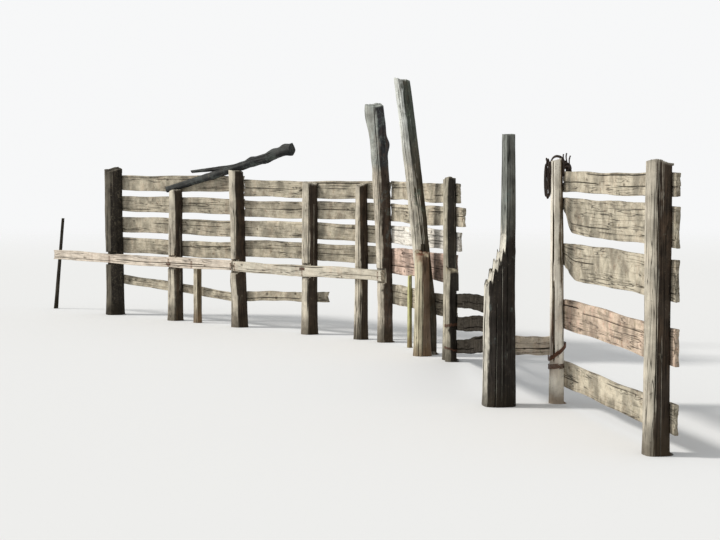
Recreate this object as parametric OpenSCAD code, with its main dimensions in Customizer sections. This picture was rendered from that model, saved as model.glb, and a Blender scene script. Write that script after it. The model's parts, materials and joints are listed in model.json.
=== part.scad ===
// Weathered timber stockyard fence: a boarded run that bends at a tall corner post, a gateway with low rails
// at its foot, and a squeeze stile between two posts beside it.
// Lengths are in millimetres, angles in degrees. The yard side faces -Y, the near end lies towards +X, and
// the origin is at the foot of the broad stile post, where it meets the ground.

/* [Boarded run] */
// Distance between two posts of the run
bay_len = 1040; // [900:10:1250]
// Turn of the run against the X axis
run_turn = 34; // [26:1:42]
// Height of the top edge of the highest run board
fence_h = 1450; // [1300:10:1600]
// Width of a run board
board_w = 165; // [140:1:180]
// Open gap between two run boards of the near half
board_gap = 30; // [24:1:60]
// Open gap between two run boards of the far half
far_gap = 55; // [30:1:70]
// Height of the far half's highest board above the near half's
far_rise = 40; // [0:5:45]
// Thickness of every board
board_t = 32; // [22:1:40]
// Diameter of a post of the run
run_post_d = 145; // [130:1:180]
// Diameter of the thick post at the far end
end_post_d = 190; // [160:1:220]
// Diameter of the slim post before the corner
slim_post_d = 118; // [108:1:135]

/* [Rails] */
// Distance between the back of the boards and the back of the front rail
run_depth = 90; // [82:1:94]
// Height of the middle of the front rail
front_rail_z = 600; // [480:5:640]
// Width of the front rail
front_rail_w = 105; // [80:1:120]
// Thickness of the front rail
front_rail_t = 50; // [35:1:60]
// Length of the front rail beyond the far end post
rail_reach = 1060; // [600:10:1200]
// Height of the middle of the low rail behind the posts
low_rail_z = 330; // [290:5:400]
// Fall of the low rail's far length towards the middle post
low_rail_fall = 110; // [0:5:140]
// Width of the low rail
low_rail_w = 95; // [70:1:110]

/* [Short bay] */
// Distance from the corner post to the gate post
short_bay = 1600; // [1500:10:1900]
// Turn of the short bay against the X axis
bay_turn = 9.5; // [4:0.5:14]
// Distance from the corner post to the tall leaning post
tall_post_x = 1130; // [1050:5:1180]
// Height of the corner post
corner_post_h = 2150; // [1950:10:2350]
// Diameter of the corner post
corner_post_d = 150; // [140:1:170]
// Height of the tall leaning post
tall_post_h = 2320; // [2100:10:2500]
// Diameter of the tall leaning post
tall_post_d = 138; // [125:1:160]
// Lean of the tall post's top towards the yard
tall_post_lean = 250; // [150:5:300]
// Open gap between the wide board and the lowest board of the short bay
low_gap = 92; // [70:2:120]
// Height of the short post beside the tall one
short_post_h = 890; // [700:10:1000]
// Diameter of the short post
short_post_d = 135; // [115:1:145]

/* [Gateway] */
// Width of the gateway between the axes of its posts
gate_w = 2860; // [2400:10:3200]
// Turn of the gateway against the X axis, away from the yard
gate_turn = 5.2; // [3:0.2:7]
// Height of the gate post
gate_post_h = 1500; // [1460:10:1650]
// Diameter of the gate post
gate_post_d = 118; // [110:1:135]
// Width of a low gateway rail
gate_rail_w = 115; // [90:1:125]
// Thickness of a low gateway rail
gate_rail_t = 58; // [40:1:64]
// Step in height from one low gateway rail to the next at the gate post
gate_rail_step = 193; // [190:1:210]
// Height of the lowest gateway rail's lower edge at the gate post
gate_rail_low = 45; // [20:5:60]
// Rise of the highest gateway rail from the gate post to the stile
gate_rail_rise = 180; // [60:5:200]
// Rise of each lower gateway rail beyond that of the one above it
gate_rail_fan = 60; // [20:5:60]

/* [Squeeze stile] */
// Clear width between the two posts of the stile
squeeze_gap = 260; // [220:5:320]
// Height of the broad stile post
stile_post_h = 1800; // [1650:10:1950]
// Height at which the broad post's split side broke away
split_h = 930; // [820:10:1050]
// Width of the standing part above the split
spar_w = 68; // [60:1:85]
// Height of the plain stile post
side_post_h = 1640; // [1600:10:1750]
// Diameter of the plain stile post
side_post_d = 105; // [98:1:120]
// Height of the middle of the step board
step_z = 385; // [330:5:430]
// Width of the step board
step_w = 130; // [100:1:150]

/* [Near bay] */
// Distance from the plain stile post to the near end post
near_bay = 2200; // [1900:10:2600]
// Height of the top edge of the highest near board
near_h = 1560; // [1450:10:1580]
// Length of the near boards past the axis of the near end post
near_overhang = 130; // [60:5:200]
// Diameter of the near end post
near_post_d = 160; // [150:1:180]

/* [Hidden] */

// Clearance between two timbers that bear on each other
seat = 0.3;
// Share of its diameter that a post's axis stands in front of the boards it carries
flat_share = 0.3;
// Room above and below a rail in the housing cut for it
housing_room = 14;
// Height of the shoulder above the boards at which a flat ends, in the run, the short bay and the near bay
run_shoulder = 55;
bay_shoulder = 72;
near_shoulder = 31;
// Depth below a board's nominal top at which its wavy upper edge runs
edge_room = 8;
// Reach of the cutting blocks, well past every post
reach = 6000;
// Corners of a trunk's ring, and rings along it
sides = 12;
rings = 12;

// The boards' plane lies this far behind the axis of the corner post
bear = flat_share * corner_post_d;
front_plane = bear - run_depth;

// Tilt of a piece in plan, as a rotated pair
function turned(a, p) = [cos(a) * p.x - sin(a) * p.y, sin(a) * p.x + cos(a) * p.y];

// Axis of a post behind which boards bear, in the line whose board plane lies at the depth plane
function post_y(plane, d) = plane - flat_share * d;

gate_post_y = post_y(bear, gate_post_d);
gate_at = turned(-gate_turn, [-gate_w, 0]);
corner_at = gate_at - turned(bay_turn, [short_bay, gate_post_y]);

// Half axes of the broad stile post at its foot and its top, and the side of it that faces the gap
stile_foot = [105, 100];
stile_top = [70, 80];
stile_face_y = 100;
// The step board and the low gateway rails end on flats at this depth on the post's far side, and the board
// starts just past the rails' ends
step_plane = -88;
step_start = 12;
side_post_at = [step_plane + flat_share * side_post_d, stile_face_y + squeeze_gap + side_post_d / 2];
near_plane = side_post_at.y + flat_share * side_post_d;

// The low gateway rails run from behind the gate post to the far side of the stile post
gate_plane = flat_share * gate_post_d;
rail_end = [step_plane, -60];
gate_reach = norm(rail_end - gate_at);
gate_rail_turn = atan2(rail_end.y - gate_at.y, rail_end.x - gate_at.x)
    - asin((gate_plane + gate_rail_t / 2) / gate_reach);
gate_rail_len = sqrt(pow(gate_reach, 2) - pow(gate_plane + gate_rail_t / 2, 2));

// Half width of a squarish section at the angle a, from its half axes r: n = 2 is an ellipse, 4 almost square
function section_r(a, r, n) = pow(pow(abs(cos(a)) / r.x, n) + pow(abs(sin(a)) / r.y, n), -1 / n);

// Bark of a split trunk as a share of its radius: slow lobes and two ridges that wind up it
function bark(a, t, seed) =
    0.04 * sin(2 * a + 130 * t + 70 * seed)
    + 0.03 * sin(3 * a - 220 * t + 110 * seed)
    + 0.02 * sin(5 * a + 480 * t + 35 * seed);

// Rise of a knot [height share, angle, rise, spread] at the angle a and the height share t
function knot_rise(a, t, knot) =
    knot[2] * exp(-pow((t - knot[0]) / knot[3], 2)) * pow(max(0, cos(a - knot[1])), 2);

function total(values) = values * [for (v = values) 1];

// Height of the torn top at the angle a
function torn_top(a, h, tear, seed) =
    h - tear * (0.5 + 0.38 * sin(a + 50 * seed) + 0.12 * sin(3 * a + 90 * seed));

// A trunk from its foot at z = 0: half axes foot and tip, swelling at the ground, lean of the tip, and knots
module trunk(h, foot, tip, lean = [0, 0], bend = 1, square = 2.4, seed = 1, tear = 30, swell = 0.1,
             knots = [[0, 0, 0, 1]]) {
    points = [
        for (i = [0:rings - 1]) let (t = i / (rings - 1))
        for (j = [0:sides - 1]) let (
            a = 360 * j / sides,
            half = foot + (tip - foot) * t,
            lumps = bark(a, t, seed) + swell * exp(-12 * t) + total([for (k = knots) knot_rise(a, t, k)]),
            r = section_r(a, half, square) * (1 + lumps),
            middle = lean * pow(t, bend)
        ) [middle.x + r * cos(a), middle.y + r * sin(a), t * torn_top(a, h, tear, seed)]
    ];
    last = (rings - 1) * sides;
    crown = [lean.x, lean.y, h - 0.6 * tear];
    walls = [
        for (i = [0:rings - 2]) for (j = [0:sides - 1]) let (
            k = (j + 1) % sides, a = i * sides + j, b = i * sides + k, c = b + sides, d = a + sides
        ) each [[a, d, c], [a, c, b]]
    ];
    lid = [for (j = [0:sides - 1]) [len(points), last + (j + 1) % sides, last + j]];
    polyhedron(concat(points, [crown]), concat([[for (j = [0:sides - 1]) j]], walls, lid));
}

// A round trunk of one diameter at the foot, tapering by a share
module pole(h, d, taper = 0.12, lean = [0, 0], bend = 1, seed = 1, tear = 30, knots = [[0, 0, 0, 1]]) {
    r = d / 2;
    trunk(h, [r, r], [r, r] * (1 - taper), lean = lean, bend = bend, seed = seed, tear = tear, knots = knots);
}

// Wave of a split edge at the share t of a board's length
function edge_wave(t, seed) = 4.5 * sin(420 * t + 83 * seed) + 2.5 * sin(1170 * t + 47 * seed);

// Corners between two edge points, so a board's outline follows the split grain
edge_steps = 14;
ragged = 22;

// A split board along X from 0 to len, its middle at z = 0, its inner face at y = 0, its back at y = thick.
// The far end is torn by the share far_tear of the ragged depth, the near end by near_tear.
module board(len, w, thick, seed, tilt = 0, far_tear = 1, near_tear = 1) {
    lower = [for (i = [0:edge_steps]) let (t = i / edge_steps)
        [len * t, -w / 2 + edge_wave(t, seed) + tilt * (t - 0.5)]];
    upper = [for (i = [0:edge_steps]) let (t = 1 - i / edge_steps)
        [len * t, w / 2 + edge_wave(t, seed + 5) + tilt * (t - 0.5)]];
    near_end = [for (k = [1:3])
        [len - near_tear * ragged * abs(sin(137 * k + 61 * seed)), w * (k / 4 - 0.5) + tilt / 2]];
    far_end = [for (k = [1:3])
        [far_tear * ragged * abs(sin(97 * k + 43 * seed)), w * (0.5 - k / 4) - tilt / 2]];
    translate([0, thick, 0]) rotate([90, 0, 0]) linear_extrude(thick)
        polygon(concat(lower, near_end, upper, far_end));
}

// A block that takes away all that lies behind a board plane up to the height h
module behind(plane, h) {
    translate([-reach, plane - seat, -1]) cube([2 * reach, reach, h + 1]);
}

// A block that takes away all that lies in front of a plane, between two heights
module in_front(plane, low, high) {
    translate([-reach, plane + seat - reach, low]) cube([2 * reach, reach, high - low]);
}

// Frames of the fence's lines: each has its origin on a post's axis and runs along X
module in_run() {
    translate(corner_at) rotate(run_turn) children();
}

module in_bay() {
    translate(corner_at) rotate(bay_turn) children();
}

module in_gateway() {
    translate(gate_at) rotate(gate_rail_turn) children();
}

// Flats hewn for the run's boards, and the housing for the front rail
module run_flats() {
    behind(bear, fence_h + run_shoulder);
    in_front(front_plane, front_rail_z - front_rail_w / 2 - housing_room,
        front_rail_z + front_rail_w / 2 + housing_room);
}

// Flats hewn for the short bay's boards
module bay_flats() {
    behind(bear, fence_h + bay_shoulder);
}

// Height of the middle of the low gateway rail k, counted from the ground, at the gate post
function gate_rail_z(k) = gate_rail_low + gate_rail_w / 2 + (k - 1) * gate_rail_step;

gate_rails_top = gate_rail_z(3) + gate_rail_w / 2;

// Flats hewn for the low gateway rails
module gateway_flats() {
    behind(gate_plane, gate_rails_top + 2 * housing_room);
}

// A post of the boarded run, a number of bays before the corner
module run_post(bays, d, h, lean, seed, tear = 30, knots = [[0, 0, 0, 1]]) {
    in_run() difference() {
        translate([-bays * bay_len, post_y(bear, d), 0])
            pole(h, d, lean = lean, seed = seed, tear = tear, knots = knots);
        run_flats();
        bough(seat);
    }
}

module end_post() color([0.30, 0.28, 0.25])
    run_post(4, end_post_d, fence_h + far_rise + 80, [-15, -6], 3, tear = 50);

// The fallen bough lies on this post, which ends below the top board, and on the next one
module run_post_far() color([0.50, 0.47, 0.41])
    run_post(3, run_post_d, bough_under(3) + saddle, [10, -4], 5);

module run_post_middle() color([0.50, 0.46, 0.40])
    run_post(2, run_post_d * 1.05, bough_under(2) + saddle, [-45, -5], 7, knots = [[0.3, 250, 0.15, 0.06]]);

module run_post_near() color([0.52, 0.48, 0.42])
    run_post(1, run_post_d, fence_h - 10, [12, -3], 9);

// The slim post stands close to the corner post, a share of a bay before it
module slim_post() color([0.48, 0.45, 0.40])
    run_post(0.32, slim_post_d, fence_h - 20, [0, -2], 11);

module corner_post() color([0.46, 0.46, 0.39]) difference() {
    translate(corner_at)
        pole(corner_post_h, corner_post_d, taper = 0.08, lean = [-45, -90], bend = 2, seed = 2, tear = 40,
            knots = [[0.95, 265, 0.38, 0.06], [0.9, 10, 0.3, 0.05], [0.825, 80, 0.36, 0.03]]);
    in_run() run_flats();
    in_bay() bay_flats();
}

// A short stake behind the front rail, a share of a bay past the second post
stake_d = 80;
module rail_stake() color([0.60, 0.55, 0.46]) in_run() difference() {
    translate([-2.63 * bay_len, front_plane + 0.35 * stake_d, 0])
        pole(front_rail_z + front_rail_w / 2, stake_d, seed = 4, tear = 20);
    in_front(front_plane, -1, 2 * front_rail_z);
    behind(bear, fence_h);
}

// A thin stick leans behind the free end of the front rail: its height, its diameter and the lean of its top
stick_h = 1010;
stick_d = 42;
stick_lean = 160;
module leaning_stick() color([0.36, 0.33, 0.29]) in_run() difference() {
    translate([stick_d - stick_lean * front_rail_z / stick_h - 4 * bay_len - rail_reach,
            front_plane + 0.3 * stick_d, 0])
        pole(stick_h, stick_d, taper = 0.3, lean = [stick_lean, 0], seed = 6, tear = 20);
    in_front(front_plane, front_rail_z - front_rail_w / 2 - housing_room,
        front_rail_z + front_rail_w / 2 + housing_room);
}

// A bough fell across the fence and lies in saddles cut in two post tops, with its thick end up in the air.
// Where its thin end lies, in bays before the corner, its length in bays, the depth of its thin end below the
// top of the boards, and its rise in degrees
bough_from = 3.12;
bough_bays = 1.95;
bough_drop = 110;
bough_rise = 11;
// Diameters of its thin end, its thick end, and the limb and the stump that leave it
bough_thin = 66;
bough_thick = 94;
limb_d = 52;
stump_d = 52;
// Shares of its length at which the limb and the stump leave it, the limb's own length as such a share, and
// the turns of both against it in degrees
limb_at = 0.62;
stump_at = 0.86;
limb_share = 0.42;
limb_turn = 187;
stump_turn = -70;
// Depth of a saddle below the post's highest point
saddle = 20;

// Height of the bough's underside where it crosses a post, a number of bays before the corner
function bough_under(bays) =
    let (bays_in = bough_from - bays)
    fence_h - bough_drop + bays_in * bay_len * tan(bough_rise)
    - (bough_thin + (bough_thick - bough_thin) * bays_in / bough_bays) / 2;

module bough(extra = 0) {
    length = bough_bays * bay_len;
    translate([-bough_from * bay_len, post_y(bear, run_post_d), fence_h - bough_drop])
        rotate([0, 90 - bough_rise, 0]) {
            trunk(length, [1, 1] * (bough_thin / 2 + extra), [1, 1] * (bough_thick / 2 + extra),
                lean = [-30, 0], bend = 3, square = 2, seed = 8, tear = 60, swell = 0);
            translate([0, 0, limb_at * length]) rotate([0, limb_turn, 0])
                trunk(limb_share * length, [1, 1] * (limb_d / 2 + extra), [1, 1] * (0.3 * limb_d + extra),
                    square = 2, seed = 12, tear = 30, swell = 0);
            translate([0, 0, stump_at * length]) rotate([0, stump_turn, 0])
                trunk(0.9 * bough_thick, [1, 1] * (stump_d / 2 + extra), [1, 1] * (0.4 * stump_d + extra),
                    square = 2, seed = 6, tear = 20, swell = 0);
        }
}

module fallen_bough() color([0.26, 0.25, 0.23]) in_run() bough();

// The face between the tall post and the short one beside it
short_plane = tall_post_x + 0.36 * tall_post_d;

module beside(plane, h) {
    translate([plane - seat, -reach, -1]) cube([reach, 2 * reach, h + 1]);
}

module tall_post() color([0.44, 0.46, 0.38]) in_bay() difference() {
    translate([tall_post_x, post_y(bear, tall_post_d), 0])
        pole(tall_post_h, tall_post_d, taper = 0.1, lean = [-30, -tall_post_lean], bend = 1.25, seed = 14,
            tear = 45, knots = [[0.5, 120, 0.12, 0.05], [0.75, 300, 0.14, 0.04]]);
    bay_flats();
    beside(short_plane, short_post_h + 40);
}

// Distance of the short post in front of the line in which it would bear on the boards
short_post_step = 110;
module short_post() color([0.62, 0.50, 0.38]) in_bay() difference() {
    translate([short_plane + 0.38 * short_post_d, post_y(bear, short_post_d) - short_post_step, 0])
        pole(short_post_h, short_post_d, seed = 16, tear = 55);
    translate([short_plane - reach, -reach, -1]) cube([reach, 2 * reach, 2 * short_post_h]);
}

// A thin pole that stands against the boards of the short bay: its height and diameter
pole_h = 0.44 * fence_h;
pole_d = 46;
module thin_pole() color([0.66, 0.62, 0.42]) in_bay() difference() {
    translate([0.49 * tall_post_x, post_y(bear, pole_d), 0])
        pole(pole_h, pole_d, taper = 0.25, seed = 18, tear = 15);
    bay_flats();
}

// Height and diameter of the stub beside the gate post, and its distance from that post's axis
stub_h = 780;
stub_d = 110;
stub_x = 0.57 * (gate_post_d + stub_d);

module gate_post() color([0.44, 0.42, 0.38]) difference() {
    in_bay() translate([short_bay, gate_post_y, 0])
        pole(gate_post_h, gate_post_d, lean = [-20, -8], seed = 20, tear = 40);
    in_bay() bay_flats();
    in_gateway() gateway_flats();
}

module gate_stub() color([0.32, 0.31, 0.29]) in_gateway() difference() {
    translate([stub_x, post_y(gate_plane, stub_d), 0]) pole(stub_h, stub_d, seed = 22, tear = 60);
    gateway_flats();
}

// Jagged edge along which the yard side of the stile post broke away, from the break up to the top. Each step
// is a share of the spar's width away from the spar, and a share of the split's height.
module split_away() {
    edge = stile_face_y - spar_w;
    steps = [
        [reach / spar_w, 0.82], [1.96, 0.82], [1.6, 0.91], [1.38, 0.87], [1.2, 1], [0.95, 0.96],
        [0.8, 1.07], [0.6, 1.01], [0.42, 1.13], [0.26, 1.07], [0.12, 1.22], [0.05, 1.5]
    ];
    outline = concat(
        [for (s = steps) [edge - s[0] * spar_w, split_h * s[1]]],
        [[edge, 2 * reach], [edge - reach, 2 * reach]]
    );
    rotate([90, 0, 90]) linear_extrude(2 * reach, center = true) polygon(outline);
}

// The broad stile post: a split trunk, upright on the side of the gap and broken away on the yard side
module stile_post() color([0.30, 0.29, 0.27]) difference() {
    translate([0, stile_face_y - stile_foot.y, 0])
        trunk(stile_post_h, stile_foot, stile_top, lean = [0, stile_foot.y - stile_top.y - 12], square = 3.6,
            seed = 24, tear = 14, swell = 0.06);
    split_away();
    translate([step_plane + seat - reach, 0, step_z - step_w / 2 - housing_room])
        cube([reach, reach, step_w + 2 * housing_room]);
    in_gateway() translate([gate_rail_len - seat - reach, gate_plane - housing_room, -1])
        cube([reach, gate_rail_t + 2 * housing_room, gate_rails_top + gate_rail_rise + housing_room]);
    translate([-reach, stile_face_y, -1]) cube([2 * reach, reach, 2 * stile_post_h]);
}

// The plain stile post has a drying crack from its top down its gap side: the crack's width one radius out of
// the bark, its depth, the height of its foot and its direction in degrees
crack_w = 10;
crack_deep = 32;
crack_low = 470;
crack_at = -50;
module stile_side_post() color([0.66, 0.60, 0.50]) difference() {
    translate([side_post_at.x, side_post_at.y, 0])
        pole(side_post_h, side_post_d, lean = [0, -14], seed = 26, tear = 30, taper = 0.25);
    translate([side_post_at.x, side_post_at.y, crack_low]) rotate(crack_at) linear_extrude(side_post_h)
        polygon([[side_post_d / 2 - crack_deep, 0], [side_post_d, -crack_w], [side_post_d, crack_w]]);
    behind(near_plane, near_h + near_shoulder);
    translate([step_plane + seat - reach, -reach, step_z - step_w / 2 - housing_room])
        cube([reach, 2 * reach, step_w + 2 * housing_room]);
}

module near_end_post() color([0.58, 0.54, 0.46]) difference() {
    translate([side_post_at.x + near_bay, post_y(near_plane, near_post_d), 0])
        pole(near_h + 70, near_post_d, lean = [12, -4], seed = 28, tear = 40);
    behind(near_plane, near_h + near_shoulder);
}

// Height of the middle of a run board on the tier k, counted from the top, for the near half and the far one
function tier_z(k) = fence_h - board_w / 2 - edge_room - (k - 1) * (board_w + board_gap);
function far_tier_z(k) = tier_z(k) + far_rise - (k - 1) * (far_gap - board_gap);

// Gap left between two board ends that meet on one post
end_gap = 6;
// Lengths by which the far run boards pass the end post and the bay's boards the gate post, from the top
far_over = [110, 60, 140, 40];
bay_over = [60, 170, 90, 0, 0];

// A board of the run at the height z, from far to near, both in bays before the corner
module run_board(z, far, near, overhang, seed, tilt) {
    in_run() translate([-far * bay_len - overhang, bear, z])
        board((far - near) * bay_len + overhang - end_gap / 2, board_w, board_t, seed, tilt);
}

module run_board_far_1() color([0.80, 0.74, 0.62]) run_board(far_tier_z(1), 4, 2, far_over[0], 1, 5);
module run_board_far_2() color([0.78, 0.72, 0.60]) run_board(far_tier_z(2), 4, 2, far_over[1], 2, -4);
module run_board_far_3() color([0.80, 0.75, 0.64]) run_board(far_tier_z(3), 4, 2, far_over[2], 3, 3);
module run_board_far_4() color([0.74, 0.69, 0.58]) run_board(far_tier_z(4), 4, 2, far_over[3], 4, 5);
module run_board_near_1() color([0.80, 0.75, 0.63]) run_board(tier_z(1), 2, 0, -end_gap / 2, 5, -4);
module run_board_near_2() color([0.77, 0.72, 0.60]) run_board(tier_z(2), 2, 0, -end_gap / 2, 6, 4);
module run_board_near_3() color([0.80, 0.74, 0.62]) run_board(tier_z(3), 2, 0, -end_gap / 2, 7, -5);
module run_board_near_4() color([0.72, 0.67, 0.57]) run_board(tier_z(4), 2, 0, -end_gap / 2, 8, 3);

// The front rail in two lengths that meet on the middle post
module front_rail(from, to, seed) {
    in_run() translate([from, front_plane - front_rail_t, front_rail_z])
        board(to - from, front_rail_w, front_rail_t, seed, 4);
}

module front_rail_far() color([0.78, 0.73, 0.62])
    front_rail(-4 * bay_len - rail_reach, -2 * bay_len - end_gap / 2, 9);

module front_rail_near() color([0.80, 0.75, 0.64])
    front_rail(-2 * bay_len + end_gap / 2, 0.3 * corner_post_d, 10);

module low_rail(far, near, overhang, seed, tilt) {
    in_run() translate([-far * bay_len - overhang, bear, low_rail_z])
        board((far - near) * bay_len + overhang - end_gap / 2, low_rail_w, board_t, seed, tilt);
}

module low_rail_far() color([0.70, 0.65, 0.55]) low_rail(4, 2, 60, 11, -low_rail_fall);

// The near length of the low rail rises again and broke off short, just past the third post
module low_rail_near() color([0.72, 0.67, 0.56]) low_rail(2, 0.8, -end_gap / 2, 12, low_rail_fall / 2);

// A board of the short bay from the height of its top edge and its width, past the gate post's axis by over
module bay_board(top, w, over, seed, tilt) {
    in_bay() translate([0, bear, top - w / 2 - edge_room]) board(short_bay + over, w, board_t, seed, tilt);
}

// Width of the wide board as a share of the others, and the height of its top edge
wide_share = 1.45;
wide_top = fence_h - 3 * (board_w + board_gap);

module bay_board_1() color([0.80, 0.72, 0.62]) bay_board(fence_h, board_w, bay_over[0], 13, -4);
module bay_board_2() color([0.80, 0.75, 0.64])
    bay_board(fence_h - board_w - board_gap, board_w, bay_over[1], 14, 4);
module bay_board_3() color([0.84, 0.80, 0.70])
    bay_board(fence_h - 2 * (board_w + board_gap), board_w, bay_over[2], 15, -3);
module bay_board_4() color([0.76, 0.60, 0.48])
    bay_board(wide_top, wide_share * board_w, bay_over[3], 16, 4);
module bay_board_5() color([0.66, 0.60, 0.50])
    bay_board(wide_top - wide_share * board_w - edge_room - low_gap, 1.1 * board_w, bay_over[4], 17, -6);

// Low gateway rails, counted from the ground: they fan out from the stile post, where they lie highest
module gate_rail(k, seed) {
    rise = gate_rail_rise + (3 - k) * gate_rail_fan;
    in_gateway() translate([0, gate_plane, gate_rail_z(k) + rise / 2])
        board(gate_rail_len - 2 * seat, gate_rail_w, gate_rail_t, seed, rise, far_tear = 0.2, near_tear = 0);
}

module gate_rail_1() color([0.34, 0.32, 0.29]) gate_rail(1, 18);
module gate_rail_2() color([0.38, 0.36, 0.32]) gate_rail(2, 19);
module gate_rail_3() color([0.42, 0.40, 0.35]) gate_rail(3, 20);

// The board to step over in the squeeze gap, on the far side of both stile posts
module step_board() color([0.72, 0.68, 0.60])
    translate([step_plane, step_start, step_z]) rotate(90)
        board(side_post_at.y + 0.45 * side_post_d - step_start, step_w, board_t, 21, 3, near_tear = 0.5,
            far_tear = 0.5);

// A board of the near bay: the height of its top edge as a share of the bay's, and its width as a share of a
// run board's
module near_board(top_share, w_share, seed, tilt) {
    w = w_share * board_w;
    translate([side_post_at.x - 0.3 * side_post_d, near_plane, top_share * near_h - w / 2 - edge_room])
        board(near_bay + 0.3 * side_post_d + near_overhang, w, board_t, seed, tilt);
}

module near_board_1() color([0.84, 0.79, 0.62]) near_board(1, 0.85, 22, 4);
module near_board_2() color([0.80, 0.72, 0.60]) near_board(0.888, 1.45, 23, -5);
module near_board_3() color([0.82, 0.76, 0.64]) near_board(0.699, 1.45, 24, 6);
module near_board_4() color([0.84, 0.78, 0.66]) near_board(0.455, 1.24, 25, -4);
module near_board_5() color([0.84, 0.78, 0.66]) near_board(0.186, 1.03, 26, 5);

end_post();
run_post_far();
run_post_middle();
run_post_near();
slim_post();
corner_post();
rail_stake();
leaning_stick();
tall_post();
short_post();
thin_pole();
gate_post();
gate_stub();
stile_post();
stile_side_post();
near_end_post();
run_board_far_1();
run_board_far_2();
run_board_far_3();
run_board_far_4();
run_board_near_1();
run_board_near_2();
run_board_near_3();
run_board_near_4();
front_rail_far();
front_rail_near();
low_rail_far();
low_rail_near();
fallen_bough();
bay_board_1();
bay_board_2();
bay_board_3();
bay_board_4();
bay_board_5();
gate_rail_1();
gate_rail_2();
gate_rail_3();
step_board();
near_board_1();
near_board_2();
near_board_3();
near_board_4();
near_board_5();
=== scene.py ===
import json
import math
import bpy
import numpy as np
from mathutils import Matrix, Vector


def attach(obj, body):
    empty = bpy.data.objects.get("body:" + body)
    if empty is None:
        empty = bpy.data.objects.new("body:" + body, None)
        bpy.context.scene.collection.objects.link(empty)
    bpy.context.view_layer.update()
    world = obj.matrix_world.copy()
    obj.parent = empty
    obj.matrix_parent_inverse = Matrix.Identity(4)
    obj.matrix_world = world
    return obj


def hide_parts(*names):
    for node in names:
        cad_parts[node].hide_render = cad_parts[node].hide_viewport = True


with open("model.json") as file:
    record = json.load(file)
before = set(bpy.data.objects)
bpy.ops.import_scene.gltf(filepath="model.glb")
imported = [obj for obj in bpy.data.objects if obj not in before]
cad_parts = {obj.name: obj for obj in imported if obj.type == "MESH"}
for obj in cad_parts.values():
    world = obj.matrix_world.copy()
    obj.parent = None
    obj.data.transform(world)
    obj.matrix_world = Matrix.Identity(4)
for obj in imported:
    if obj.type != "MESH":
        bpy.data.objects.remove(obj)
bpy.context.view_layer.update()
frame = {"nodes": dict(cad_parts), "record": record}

print("solids loaded:", len(frame["nodes"]))

# the fence's own measures in metres, as in the part's source
fence = {
    "bay": 1.04, "runTurn": 34.0, "height": 1.45, "boardWidth": 0.165, "boardGap": 0.030, "farGap": 0.055,
    "farRise": 0.040, "boardThick": 0.032, "runPostWidth": 0.145, "endPostWidth": 0.190, "slimPostWidth": 0.118,
    "runDepth": 0.090, "frontRailZ": 0.600, "frontRailWidth": 0.105, "frontRailThick": 0.050, "railReach": 1.060,
    "lowRailZ": 0.330, "lowRailFall": 0.110, "lowRailWidth": 0.095,
    "shortBay": 1.600, "bayTurn": 9.5, "cornerPostWidth": 0.150, "tallPostX": 1.130, "tallPostWidth": 0.138,
    "shortPostHeight": 0.890, "shortPostWidth": 0.135, "shortPostStep": 0.110, "lowGap": 0.092, "wideShare": 1.45,
    "gateWidth": 2.860, "gateTurn": 5.2, "gatePostWidth": 0.118, "gateRailWidth": 0.115, "gateRailThick": 0.058,
    "gateRailStep": 0.193, "gateRailLow": 0.045, "gateRailRise": 0.180, "gateRailFan": 0.060, "stubWidth": 0.110,
    "squeezeGap": 0.260, "splitHeight": 0.930, "sparWidth": 0.068, "sidePostWidth": 0.105, "stepZ": 0.385,
    "stepWidth": 0.130, "stepPlane": -0.088, "stepStart": 0.012, "stileFaceY": 0.100, "stileFootY": 0.100,
    "nearBay": 2.200, "nearHeight": 1.560, "nearOverhang": 0.130, "nearPostWidth": 0.160,
    "seat": 0.0003, "flatShare": 0.3, "housingRoom": 0.014, "runShoulder": 0.055, "bayShoulder": 0.072,
    "nearShoulder": 0.031, "edgeRoom": 0.008, "endGap": 0.006, "ragged": 0.022,
}


# a point turned in plan by degrees
def turnedPoint(degrees, x, y):
    c, s = math.cos(math.radians(degrees)), math.sin(math.radians(degrees))
    return c * x - s * y, s * x + c * y


# the axis of a post whose boards bear on the plane
def postY(plane, width):
    return plane - fence["flatShare"] * width


bear = fence["flatShare"] * fence["cornerPostWidth"]
frontPlane = bear - fence["runDepth"]
gatePostY = postY(bear, fence["gatePostWidth"])
gateAt = turnedPoint(-fence["gateTurn"], -fence["gateWidth"], 0)
bayStep = turnedPoint(fence["bayTurn"], fence["shortBay"], gatePostY)
cornerAt = (gateAt[0] - bayStep[0], gateAt[1] - bayStep[1])
sidePostAt = (fence["stepPlane"] + fence["flatShare"] * fence["sidePostWidth"],
              fence["stileFaceY"] + fence["squeezeGap"] + fence["sidePostWidth"] / 2)
nearPlane = sidePostAt[1] + fence["flatShare"] * fence["sidePostWidth"]
gatePlane = fence["flatShare"] * fence["gatePostWidth"]
railOffset = gatePlane + fence["gateRailThick"] / 2
railRun = (fence["stepPlane"] - gateAt[0], -0.060 - gateAt[1])
gateReach = math.hypot(*railRun)
gateRailTurn = math.degrees(math.atan2(railRun[1], railRun[0]) - math.asin(railOffset / gateReach))
gateRailLength = math.sqrt(gateReach ** 2 - railOffset ** 2)
shortPlane = fence["tallPostX"] + 0.36 * fence["tallPostWidth"]
stubX = 0.57 * (fence["gatePostWidth"] + fence["stubWidth"])
wideTop = fence["height"] - 3 * (fence["boardWidth"] + fence["boardGap"])
railsTop = fence["gateRailLow"] + fence["gateRailWidth"] + 2 * fence["gateRailStep"]

# each line of the fence: where it starts and how far it is turned
lines = {"yard": (0.0, 0.0, 0.0), "run": (*cornerAt, fence["runTurn"]), "bay": (*cornerAt, fence["bayTurn"]),
         "gateway": (*gateAt, gateRailTurn), "step": (fence["stepPlane"], fence["stepStart"], 90.0)}


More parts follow.
